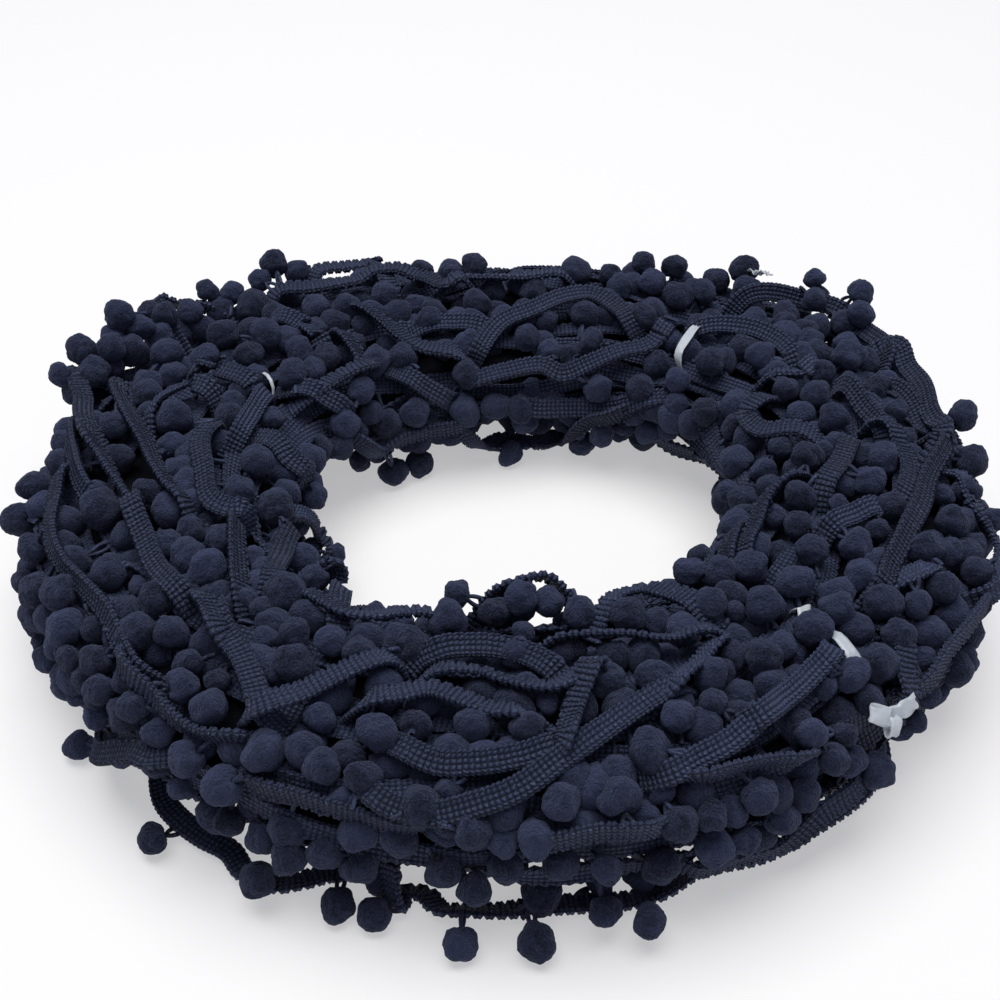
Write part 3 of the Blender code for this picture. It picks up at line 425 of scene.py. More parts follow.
@dataclass(frozen=True)
class Ring:
    """The wound ring's skin, from the table of its sections."""

    centre: tuple[float, float] = (0.03, -2.7)
    power: float = 2.5
    pinch_depth: float = 1.6
    pinch_spread: float = 5.0
    pinch_turns: tuple[float, ...] = (51.0, 321.0, 149.0)
    solve_steps: int = 8
    deepest: float = -22.0
    highest: float = 30.0

    def section(self, turn: Array) -> tuple[Array, Array, Array]:
        """Middle radius, half width and half height of the ring at turn angles.

        Args:
            turn: Turn angles.

        Returns:
            The three measures, in the same order as the angles.
        """
        place = (turn % 360.0) / SECTION_STEP
        row = np.floor(place).astype(int)
        rows = [SECTIONS[(row + offset) % len(SECTIONS)] for offset in (-1, 0, 1, 2)]
        inner, outer, height = catmull_rom(*rows, (place - row)[..., None]).T
        return (inner + outer) / 2, (outer - inner) / 2, height / 2

    def point(self, turn: Array, around: Array, lift: Array) -> Array:
        """Points above the skin.

        Args:
            turn: Turn angles.
            around: Section angles.
            lift: Heights above the skin.

        Returns:
            One row of x, y and z for each.
        """
        turn, around, lift = (np.asarray(v, dtype=float) for v in np.broadcast_arrays(turn, around, lift))
        middle, half_width, half_height = self.section(turn)
        across, up = np.cos(np.radians(around)), np.sin(np.radians(around))
        reach = (np.abs(across) ** self.power + np.abs(up) ** self.power) ** (-1 / self.power)
        lift = lift - self.pinch(turn)
        radius = middle + (half_width * reach + lift) * across
        height = half_height + (half_height * reach + lift) * up
        return np.stack([self.centre[0] + radius * np.cos(np.radians(turn)),
                         self.centre[1] + radius * np.sin(np.radians(turn)), height], axis=-1)

    def pinch(self, turn: Array) -> Array:
        """How far the ties draw the ring in at turn angles."""
        apart = [(turn - at + 180.0) % 360.0 - 180.0 for at in self.pinch_turns]
        return sum(self.pinch_depth * np.exp(-((gap / self.pinch_spread) ** 2)) for gap in apart)

    def normal(self, turn: Array, around: Array) -> Array:
        """Directions straight out of the skin.

        Args:
            turn: Turn angles.
            around: Section angles.

        Returns:
            One unit row for each.
        """
        along = self.point(turn + 0.5, around, 0.0) - self.point(turn - 0.5, around, 0.0)
        over = self.point(turn, around + 0.5, 0.0) - self.point(turn, around - 0.5, 0.0)
        return unit(np.cross(along, over))

    def lift_of(self, points: Array) -> tuple[Array, Array]:
        """How high points lie above the skin, and the way out there.

        Args:
            points: Rows of x, y and z.

        Returns:
            Each point's lift and its unit direction out of the ring.
        """
        flat = points[:, :2] - np.array(self.centre)
        radius = np.linalg.norm(flat, axis=1)
        turn = np.degrees(np.arctan2(flat[:, 1], flat[:, 0]))
        middle, half_width, half_height = self.section(turn)
        side, rise = radius - middle, points[:, 2] - half_height
        lift = np.zeros(len(points))
        for _ in range(self.solve_steps):
            wide, tall = half_width + lift, half_height + lift
            first, second = np.abs(side) / wide, np.abs(rise) / tall
            excess = first**self.power + second**self.power - 1.0
            slope = -self.power * (first**self.power / wide + second**self.power / tall)
            lift = np.clip(lift - excess / np.minimum(slope, -1e-6), self.deepest, self.highest)
        wide, tall = half_width + lift, half_height + lift
        out_side = np.sign(side) * (np.abs(side) / wide) ** (self.power - 1) / wide
        out_rise = np.sign(rise) * (np.abs(rise) / tall) ** (self.power - 1) / tall
        spokes = flat / radius[:, None]
        return lift + self.pinch(turn), unit(np.column_stack([spokes * out_side[:, None], out_rise]))


@dataclass
class Mesh:
    """Arrays that become one piece: vertices in millimetres, faces, face corners' UVs and a tone."""

    vertices: list[Array] = field(default_factory=list)
    faces: list[Whole] = field(default_factory=list)
    uvs: list[Array] = field(default_factory=list)
    tones: list[Array] = field(default_factory=list)
    count: int = 0

    def add(self, vertices: Array, faces: Whole, uvs: Array, tone: float | Array) -> None:
        """Adds a shape.

        Args:
            vertices: Rows of x, y and z.
            faces: Rows of vertex numbers, all with the same number of corners.
            uvs: One row for each face corner.
            tone: How light the shape is against the others, from 0 to 1, or one for each vertex.
        """
        self.vertices.append(np.maximum(vertices, (-np.inf, -np.inf, 0.0)))
        self.faces.append(faces + self.count)
        self.uvs.append(uvs)
        self.tones.append(np.broadcast_to(tone, len(vertices)))
        self.count += len(vertices)

    def build(self, name: str, material: bpy.types.Material) -> bpy.types.Object:
        """Makes the piece.

        Args:
            name: The piece's name.
            material: Its finish.

        Returns:
            The new object.
        """
        corners = np.concatenate([rows.ravel() for rows in self.faces])
        sizes = np.concatenate([np.full(len(rows), rows.shape[1]) for rows in self.faces])
        mesh = bpy.data.meshes.new(name)
        mesh.vertices.add(self.count)
        mesh.vertices.foreach_set("co", (np.concatenate(self.vertices) * MM).ravel())
        mesh.loops.add(len(corners))
        mesh.loops.foreach_set("vertex_index", corners.astype(np.int32))
        mesh.polygons.add(len(sizes))
        mesh.polygons.foreach_set("loop_start", (np.cumsum(sizes) - sizes).astype(np.int32))
        mesh.polygons.foreach_set("use_smooth", np.ones(len(sizes), dtype=bool))
        layer = mesh.uv_layers.new(name="length_and_width")
        layer.data.foreach_set("uv", np.concatenate(self.uvs).astype(np.float32).ravel())
        tone = mesh.attributes.new("tone", "FLOAT", "POINT")
        tone.data.foreach_set("value", np.concatenate(self.tones).astype(np.float32))
        mesh.update(calc_edges=True)
        mesh.materials.append(material)
        return new_object(name, mesh)


@dataclass
class Laid:
    """A braid turn as laid: its stations' middles, directions across and out, and its length."""

    turn: Turn
    middles: Array
    across: Array
    out: Array
    tone: float


@dataclass(frozen=True)
class Braid:
    """The woven braid, with a cross rib each 1.45 mm and a rope edge that bulges at every second rib.

    A turn lies by the clearance above the turns that it passes over, and eases in and out over a number of
    stations. At each end it dives by a tuck. Its roll sways in two waves, and its lift and section angle
    waver, each by an amount and over a length.
    """

    width: float = 6.5
    thickness: float = 1.7
    rib_pitch: float = 1.45
    rib_relief: float = 0.26
    edge_relief: float = 0.36
    stations_per_rib: int = 2
    curve_steps: int = 24
    clearance: float = 1.6
    most_rise: float = 3.0
    ease: int = 13
    stride: int = 4
    tuck_length: float = 7.0
    most_tuck: float = 1.5
    tuck_lift: float = -7.0
    tuck_drop: float = 5.0
    sway_lengths: tuple[float, float] = (19.0, 8.0)
    lift_waver: tuple[float, float] = (0.5, 6.5)
    section_waver: tuple[float, float] = (0.7, 11.0)

    def route(self, ring: Ring, turn: Turn, seed: int) -> Array:
        """Evenly spaced (turn, section angle, lift, roll) rows along a turn.

        Args:
            ring: The ring that it lies on.
            turn: The turn.
            seed: The number that its sway is drawn from.

        Returns:
            The rows.
        """
        points = np.array(turn.points, dtype=float)
        if turn.tucked:
            points = self.with_tucks(ring, points)
        padded = np.vstack([points[0], points, points[-1]])
        share = np.arange(self.curve_steps)[:, None] / self.curve_steps
        fine = np.vstack([catmull_rom(*padded[row:row + 4], share) for row in range(len(points) - 1)]
                         + [points[-1:]])
        steps = np.linalg.norm(np.diff(ring.point(*fine.T), axis=0), axis=1)
        gone = np.concatenate([[0.0], np.cumsum(steps)])
        even = np.arange(0.0, gone[-1], self.rib_pitch / self.stations_per_rib)
        rows = np.column_stack([np.interp(even, gone, column) for column in fine.T])
        draw = np.random.default_rng(seed)
        phase, wave = draw.uniform(0, 2 * np.pi, 4), draw.uniform(0.7, 1.3, 4)
        long_sway, short_sway = self.sway_lengths
        rolls = turn.roll + turn.sway * (np.sin(even / long_sway * wave[0] + phase[0])
                                         + 0.6 * np.sin(even / short_sway * wave[1] + phase[1]))
        for column, (amount, length), which in ((2, self.lift_waver, 2), (1, self.section_waver, 3)):
            rows[:, column] += amount * np.sin(even / length * wave[which] + phase[which])
        return np.column_stack([rows, rolls])

    def with_tucks(self, ring: Ring, points: Array) -> Array:
        """Points of a turn with one more at each end, where it dives under its neighbours.

        Args:
            ring: The ring that it lies on.
            points: Its (turn, section angle, lift) points.

        Returns:
            The longer list of points.
        """
        spots = ring.point(*points.T)
        tucks = []
        for near, far in ((0, 1), (-1, -2)):
            reach = max(float(np.linalg.norm(spots[near] - spots[far])), 1.0)
            tuck = points[near] + (points[near] - points[far]) * min(self.tuck_length / reach, self.most_tuck)
            tuck[2] = min(self.tuck_lift, points[near][2] - self.tuck_drop)
            tucks.append(tuck)
        return np.vstack([tucks[0], points, tucks[1]])

    def lay(self, ring: Ring, turn: Turn, seed: int, under: list[Laid]) -> Laid:
        """Lays a turn on the ring, over the turns that are there already.

        Args:
            ring: The ring that it lies on.
            turn: The turn.
            seed: The number that its sway is drawn from.
            under: The turns that it has to pass over.

        Returns:
            The laid turn.
        """
        around_turn, section, lift, roll = self.route(ring, turn, seed).T
        out = ring.normal(around_turn, section)
        if under:
            lift = lift + self.raised(ring.point(around_turn, section, lift), out, under)
        middles = ring.point(around_turn, section, lift)
        along = unit(np.gradient(middles, axis=0))
        across = unit(np.cross(out, along))
        inward = ring.point(around_turn, section + 1.0, lift) - middles
        across = across * np.sign(np.sum(across * inward, axis=1))[:, None]
        out = unit(out - along * np.sum(out * along, axis=1)[:, None])
        turned, tilted = np.cos(np.radians(roll))[:, None], np.sin(np.radians(roll))[:, None]
        across, out = across * turned + out * tilted, out * turned - across * tilted
        low = (self.width / 2 * np.abs(across[:, 2]) + self.thickness / 2) - middles[:, 2]
        middles[:, 2] += np.maximum(low, 0.0)
        tone = float(np.random.default_rng(seed + 1).uniform(0.3, 1.0))
        return Laid(turn, middles, across, out, tone)

    def raised(self, middles: Array, out: Array, under: list[Laid]) -> Array:
        """How far stations must rise to clear the turns below them.

        Args:
            middles: The stations' middles.
            out: The way out of the ring at each.
            under: The turns that lie there already.

        Returns:
            The rise at each station, eased in and out.
        """
        laid = np.vstack([other.middles[::self.stride] for other in under])
        tree = kdtree.KDTree(len(laid))
        for number, place in enumerate(laid):
            tree.insert(place, number)
        tree.balance()
        rise = np.zeros(len(middles))
        for number in range(0, len(middles), self.stride):
            here = slice(number, number + self.stride)
            for _, other, _ in tree.find_range(middles[number], self.width * 0.5):
                gap = float(np.dot(laid[other] - middles[number], out[number]))
                if gap > -self.clearance:
                    rise[here] = np.maximum(rise[here], gap + self.clearance)
        side = self.ease // 2
        spread = np.array([rise[max(0, n - side):n + side + 1].max() for n in range(len(rise))])
        weights = np.hanning(self.ease + 2)[1:-1]
        padded = np.pad(np.minimum(spread, self.most_rise), side, mode="edge")
        return np.convolve(padded, weights / weights.sum(), mode="valid")

    def dress(self, mesh: Mesh, laid: Laid) -> None:
        """Adds a laid turn's ribbed, rope-edged strip to a mesh.

        Args:
            mesh: The mesh that it joins.
            laid: The laid turn.
        """
        half, thick = self.width / 2, self.thickness / 2
        # Corners of the cross-section, as shares of the half width and the half thickness.
        side = np.array([-1.0, -0.86, -0.6, 0.0, 0.6, 0.86, 1.0, 0.86, 0.6, 0.0, -0.6, -0.86])
        level = np.array([0.0, 1.1, 0.75, 0.8, 0.75, 1.1, 0.0, -1.1, -0.75, -0.8, -0.75, -1.1])
        number = np.arange(len(laid.middles))
        per = self.stations_per_rib
        crest = np.where(number % per == 0, -1.0, 1.0)[:, None] * self.rib_relief
        bulge = self.edge_relief * np.cos(np.pi * number / per)[:, None] * (np.abs(side) > 0.8)
        width = half * side + np.sign(side) * (bulge * 0.15 + crest * 0.5)
        height = thick * level + np.sign(level) * (crest + bulge)
        points = (laid.middles[:, None] + laid.across[:, None] * width[..., None]
                  + laid.out[:, None] * height[..., None])
        faces, row, column = tube_faces(len(number), len(side))
        faces = faces[:, [0, 3, 2, 1]]
        steps = np.linalg.norm(np.roll(points[0], -1, axis=0) - points[0], axis=1)
        reach = np.concatenate([[0.0], np.cumsum(steps)])
        length = number * self.rib_pitch / per
        first, second = reach[column], reach[column + 1]
        here, there = length[row], length[row + 1]
        uvs = np.stack([np.stack([here, first], -1), np.stack([here, second], -1),
                        np.stack([there, second], -1), np.stack([there, first], -1)], axis=2)
        uvs = uvs.reshape(-1, 4, 2)
        # The faces look out whichever way the turn runs.
        facing = np.cross(points[1, 0] - points[0, 0], points[0, 1] - points[0, 0])
        if np.sum(facing * (points[0, 0] - laid.middles[0])) > 0:
            faces, uvs = faces[:, ::-1], uvs[:, ::-1]
        mesh.add(points.reshape(-1, 3), faces, uvs.reshape(-1, 2), laid.tone)


@dataclass(frozen=True)
class Pompom:
    """A felted pompom, not quite round, with a gather where its loop ties it."""

    radius: float = 5.0
    least: float = 0.9
    most: float = 1.1
    pitch: float = 13.5
    stem: float = 3.4
    longest_stem: float = 5.4
    loop_gap: float = 1.5
    cord: float = 0.62
    kinds: int = 10
    gather: float = 0.24

    def templates(self, subdivisions: int) -> list[tuple[Array, Whole]]:
        """Differently uneven pompoms of radius one, with the gather at +Z.

        Args:
            subdivisions: How finely the ball is divided.

        Returns:
            Vertices and triangles of each.
        """
        made = []
        # Broad lumps, tufts and fuzz all over, and a dimple with creases where the loop draws the yarn in.
        for kind in range(self.kinds):
            shape = bmesh.new()
            bmesh.ops.create_icosphere(shape, subdivisions=subdivisions, radius=1.0)
            for vertex in shape.verts:
                place = vertex.co.copy()
                lump = noise.noise(place * 1.1 + Vector((kind * 7.1, 0, 0)))
                tuft = noise.noise(place * 3.6 + Vector((0, kind * 5.3, 0)))
                polar = max(0.0, place.z) ** 8
                crease = noise.noise(Vector((place.x * 5, place.y * 5, kind * 3.7)))
                fuzz = noise.noise(place * 9.0 + Vector((kind * 2.9, 0, 0)))
                vertex.co = place * (0.98 + 0.22 * lump + 0.06 * tuft + 0.035 * fuzz
                                     - polar * (self.gather + 0.2 * crease))
            bmesh.ops.triangulate(shape, faces=shape.faces)
            made.append((np.array([v.co for v in shape.verts]),
                         np.array([[v.index for v in f.verts] for f in shape.faces])))
            shape.free()
        return made


@dataclass
class Hung:
    """Pompoms hung on the braid: where each hangs from, its middle, its size and how freely it moves."""

    anchors: Array
    middles: Array
    radii: Array
    lowest: Array
    highest: Array
    freedom: Array
    longest: Array

    def take(self, keep: Array) -> "Hung":
        """The pompoms that a mask keeps."""
        return Hung(*(getattr(self, name)[keep] for name in self.__dataclass_fields__))

    @classmethod
    def joined(cls, sets: Sequence["Hung"]) -> "Hung":
        """Several sets as one."""
        names = cls.__dataclass_fields__
        return cls(*(np.concatenate([getattr(one, name) for one in sets]) for name in names))


@dataclass
class Winding:
    """The visible turns of trim: laid braids and the pompoms that hang from them.

    The pairs of lifts are the least and the most that a pompom's middle may have. A pompom of the table has
    a little play about its place and gives way only a little, and the others near it stay low. As they
    settle, each step moves them apart at a pace, with a pull back to where they hung, and they may press a
    little into each other.
    """

    ring: Ring
    braid: Braid
    plain: Braid
    pompom: Pompom
    seed: int = 11
    lower_lift: float = -6.8
    lower_swell: float = 1.6
    lower_sections: tuple[float, ...] = (-24, -6, 12, 28, 44, 60, 76, 92, 108, 124, 140, 158, 178, 200)
    unseen_lifts: tuple[float, float] = (-5.0, 0.5)
    lower_lifts: tuple[float, float] = (-8.0, -3.0)
    anchor_inset: float = 0.5
    lean: float = 0.35
    usual_loop: float = 2.2
    seen_play: float = 1.2
    seen_freedom: float = 0.12
    seen_reach: float = 40.0
    low_within: float = 15.0
    low_lift: float = -4.2
    least_spacing: float = 4.5
    settle_steps: int = 80
    look_again: int = 8
    pompoms_meet: float = 14.0
    strips_meet: float = 10.0
    pressed: float = 0.97
    pace: float = 1.2
    homing: float = 0.02
    most_homing: float = 0.3
    nestle: float = 0.6
    stem_pull: float = 0.7
    least_stem: float = 0.8
    floor_gap: float = 0.1
    upper: list[Laid] = field(default_factory=list)
    lower: list[Laid] = field(default_factory=list)

    def lay(self) -> None:
        """Lays the lower turns, then the ones that the eye follows over them."""
        draw = np.random.default_rng(self.seed)
        for number, section in enumerate(self.lower_sections):
            waves, phase = draw.integers(2, 5), draw.uniform(0, 360, 2)
            swing, drift = draw.uniform(5, 10), draw.uniform(3, 6)
            turns = np.arange(0, 361, 6.0)
            arounds = (section + swing * np.sin(np.radians(turns * waves + phase[0]))
                       + drift * np.sin(np.radians(turns * 7 + phase[1])))
            lifts = self.lower_lift + self.lower_swell * np.sin(np.radians(turns * 5 + phase[1] * 3))
            arounds, lifts = (np.append(column[:-1], column[0]) for column in (arounds, lifts))
            edge = Edge.INNER if draw.random() < 0.5 else Edge.OUTER
            turn = Turn(f"lower_{number}", tuple(zip(turns + phase[0], arounds, lifts)), sway=24.0,
                        tucked=False, edge=edge)
            self.lower.append(self.plain.lay(self.ring, turn, self.seed * 100 + number, self.lower))
        for number, turn in enumerate((*SEEN_TURNS, *UNSEEN_TURNS)):
            self.upper.append(self.braid.lay(self.ring, turn, self.seed * 200 + number, self.upper))

    def hung_from(self, laid: Laid, lifts: tuple[float, float], seed: int) -> Hung:
        """Hangs pompoms along one laid turn, a pitch apart.

        Args:
            laid: The laid turn.
            lifts: The least and the most lift of a pompom's middle.
            seed: The number that sizes and leanings are drawn from.

        Returns:
            The pompoms, each beside its own place on the edge.
        """
        draw = np.random.default_rng(seed)
        every = self.pompom.pitch / float(np.linalg.norm(np.diff(laid.middles, axis=0), axis=1).mean())
        places = (np.arange(every * draw.uniform(0.2, 0.8), len(laid.middles) - 3, every)).astype(int)
        count = len(places)
        radii = self.pompom.radius * draw.uniform(self.pompom.least, self.pompom.most, count)
        away = laid.across[places] * laid.turn.edge.value
        along = np.gradient(laid.middles, axis=0)[places]
        lean = unit(away + unit(along) * draw.normal(0, self.lean, count)[:, None])
        anchors = laid.middles[places] + away * (self.braid.width / 2 - self.anchor_inset)
        middles = anchors + lean * (radii + self.pompom.stem)[:, None]
        same = np.ones(count)
        return Hung(anchors, middles, radii, lifts[0] * same, lifts[1] * same, same,
                    radii + self.pompom.longest_stem)

    def seen(self) -> Hung:
        """Places the pompoms of the table, each hung from the braid edge that its loop best reaches.

        Returns:
            The pompoms.
        """
        turn, around, lift, radii = SEEN_POMPOMS.T
        middles = self.ring.point(turn, around, lift)
        middles[:, 2] = np.maximum(middles[:, 2], radii)
        half = self.braid.width / 2 - self.anchor_inset
        edges = np.vstack([laid.middles + laid.across * (edge.value * half)
                           for laid in (*self.upper, *self.lower) for edge in Edge])
        slack = [np.abs(np.linalg.norm(edges - place, axis=1) - radius - self.usual_loop)
                 for place, radius in zip(middles, radii)]
        anchors = edges[[int(np.argmin(row)) for row in slack]]
        same = np.ones(len(middles))
        return Hung(anchors, middles, radii, lift - self.seen_play, lift + self.seen_play,
                    self.seen_freedom * same, self.seen_reach * same)

    def hang(self) -> Hung:
        """Hangs every pompom and lets them settle.

        Returns:
            The settled pompoms.
        """
        seen = self.seen()
        sets = []
        for number, laid in enumerate(self.upper):
            if laid.turn in UNSEEN_TURNS:
                sets.append(self.hung_from(laid, self.unseen_lifts, self.seed * 300 + number))
        for number, laid in enumerate(self.lower):
            sets.append(self.hung_from(laid, self.lower_lifts, self.seed * 400 + number))
        others = Hung.joined(sets)
        nearest = np.linalg.norm(others.middles[:, None] - seen.middles[None], axis=2).min(axis=1)
        others.highest[nearest < self.low_within] = self.low_lift
        settled = self.settled(Hung.joined([seen, others.take(nearest > self.least_spacing)]))
        clear = self.ring.point(*CLEAR_PLACES[:, :3].T)
        gaps = np.linalg.norm(settled.middles[:, None] - clear[None], axis=2)
        kept = (gaps > CLEAR_PLACES[:, 3]).all(axis=1)
        kept[:len(SEEN_POMPOMS)] = True
        return settled.take(kept)

    def settled(self, hung: Hung) -> Hung:
        """Moves pompoms apart, off the braids and into the ring's skin, as they would nestle.

        Args:
            hung: The pompoms as first hung.

        Returns:
            The same pompoms where they come to rest.
        """
        samples, sizes = self.obstacles()
        tree = kdtree.KDTree(len(samples))
        for number, place in enumerate(samples):
            tree.insert(place, number)
        tree.balance()
        middles, radii = hung.middles.copy(), hung.radii
        home = hung.middles
        for step in range(self.settle_steps):
            if step % self.look_again == 0:
                gaps = np.linalg.norm(middles[:, None] - middles[None], axis=2)
                one, two = np.nonzero(np.triu(gaps < self.pompoms_meet, 1))
                met = [(number, other) for number, place in enumerate(middles)
                       for _, other, _ in tree.find_range(place, self.strips_meet)]
                ball, strip = np.array(met).T
            moves, counts = np.zeros_like(middles), np.full(len(middles), 1.0)
            apart = middles[one] - middles[two]
            gap = np.linalg.norm(apart, axis=1)
            push = np.maximum(self.pressed * (radii[one] + radii[two]) - gap, 0.0) / np.maximum(gap, 1e-6)
            weight = hung.freedom[one] + hung.freedom[two]
            shift = apart * push[:, None]
            np.add.at(moves, one, shift * (hung.freedom[one] / weight)[:, None])
            np.add.at(moves, two, -shift * (hung.freedom[two] / weight)[:, None])
            np.add.at(counts, one, (push > 0) * 0.5)
            np.add.at(counts, two, (push > 0) * 0.5)
            apart = middles[ball] - samples[strip]
            gap = np.linalg.norm(apart, axis=1)
            push = np.maximum(radii[ball] + sizes[strip] - gap, 0.0) / np.maximum(gap, 1e-6)
            np.add.at(moves, ball, apart * (push * hung.freedom[ball])[:, None])
            np.add.at(counts, ball, (push > 0) * 1.0)
            middles = middles + moves / counts[:, None] * self.pace
            middles += (home - middles) * np.minimum(self.homing / hung.freedom, self.most_homing)[:, None]
            self.hold(middles, hung)
        return Hung(hung.anchors, middles, radii, hung.lowest, hung.highest, hung.freedom, hung.longest)

    def hold(self, middles: Array, hung: Hung) -> None:
        """Keeps pompoms on their loops, in the ring's skin and above the floor.

        Args:
            middles: The pompoms' middles, which move.
            hung: Their sizes and limits.
        """
        lift, out = self.ring.lift_of(middles)
        wanted = np.clip(lift, hung.lowest, hung.highest)
        middles += out * ((wanted - lift) * self.nestle)[:, None]
        apart = middles - hung.anchors
        reach = np.linalg.norm(apart, axis=1)
        kept = np.clip(reach, hung.radii + self.least_stem, hung.longest)
        middles += apart * ((kept / np.maximum(reach, 1e-6) - 1.0) * self.stem_pull)[:, None]
        middles[:, 2] = np.maximum(middles[:, 2], hung.radii + self.floor_gap)

    def obstacles(self) -> tuple[Array, Array]:
        """Samples the laid braids that pompoms rest against.

        Returns:
            The points, and how thick the braid is at each.
        """
        rows = []
        for laid in (*self.upper, *self.lower):
            middles, across = laid.middles[::self.braid.stride], laid.across[::self.braid.stride]
            for share in (-0.7, 0.0, 0.7):
                rows.append(middles + across * (share * self.braid.width / 2))
        samples = np.vstack(rows)
        return samples, np.full(len(samples), self.braid.thickness * 0.45)


@dataclass
class Fringe:
    """The pompoms and their loops as meshes.

    A loop's two cords start a little inside the braid's edge, bow out, and end inside the pompom.
    """

    pompom: Pompom
    seed: int = 5
    start_inset: float = 0.3
    start_spread: float = 0.75
    bow_spread: float = 0.55
    end_depth: float = 0.72
    waver: float = 0.12

    def add_pompoms(self, mesh: Mesh, hung: Hung, subdivisions: int) -> None:
        """Adds pompoms, each turned with its gather to its loop.

        Args:
            mesh: The mesh that they join.
            hung: The pompoms.
            subdivisions: How finely each is divided.
        """
        draw = np.random.default_rng(self.seed)
        templates = self.pompom.templates(subdivisions)
        for anchor, middle, radius in zip(hung.anchors, hung.middles, hung.radii):
            points, faces = templates[draw.integers(len(templates))]
            up = unit(anchor - middle)
            helper = unit(draw.normal(size=3))
            first = unit(np.cross(up, helper))
            axes = np.stack([first, np.cross(up, first), up])
            stretch = draw.uniform(0.88, 1.1, 3) * radius
            placed = (points * stretch) @ axes + middle
            mesh.add(placed, faces, np.zeros((faces.size, 2)), draw.uniform(0.0, 1.0))

    def add_loops(self, mesh: Mesh, hung: Hung, sides: int, steps: int) -> None:
        """Adds the two cords of each loop, from the braid's edge into the pompom.

        Args:
            mesh: The mesh that they join.
            hung: The pompoms.
            sides: How many sides a cord has.
            steps: How many stretches it has.
        """
        draw = np.random.default_rng(self.seed + 1)
        angle = np.arange(sides) * 2 * np.pi / sides
        share = np.linspace(0, 1, steps + 1)[:, None]
        faces, row, column = tube_faces(steps + 1, sides)
        turned = column / sides
        for anchor, middle, radius in zip(hung.anchors, hung.middles, hung.radii):
            away = middle - anchor
            reach = np.linalg.norm(away)
            away = away / max(reach, 1e-6)
            first = unit(np.cross(away, draw.normal(size=3)))
            second = np.cross(away, first)
            end = middle - away * radius * self.end_depth
            for sign in (-1.0, 1.0):
                wide = first * sign * self.pompom.loop_gap
                start = anchor - away * self.start_inset + wide * self.start_spread
                bend = (start + end) / 2 + wide * self.bow_spread
                line = (1 - share) ** 2 * start + 2 * share * (1 - share) * bend + share**2 * end
                line = line + second * draw.normal(0, self.waver)
                rim = (first * np.cos(angle)[:, None] + second * np.sin(angle)[:, None]) * self.pompom.cord
                points = (line[:, None] + rim[None]).reshape(-1, 3)
                length = row * reach / steps
                uvs = np.stack([np.stack([length, turned], -1)] * 4, axis=2).reshape(-1, 2)
                mesh.add(points, faces, uvs, draw.uniform(0.3, 0.9))


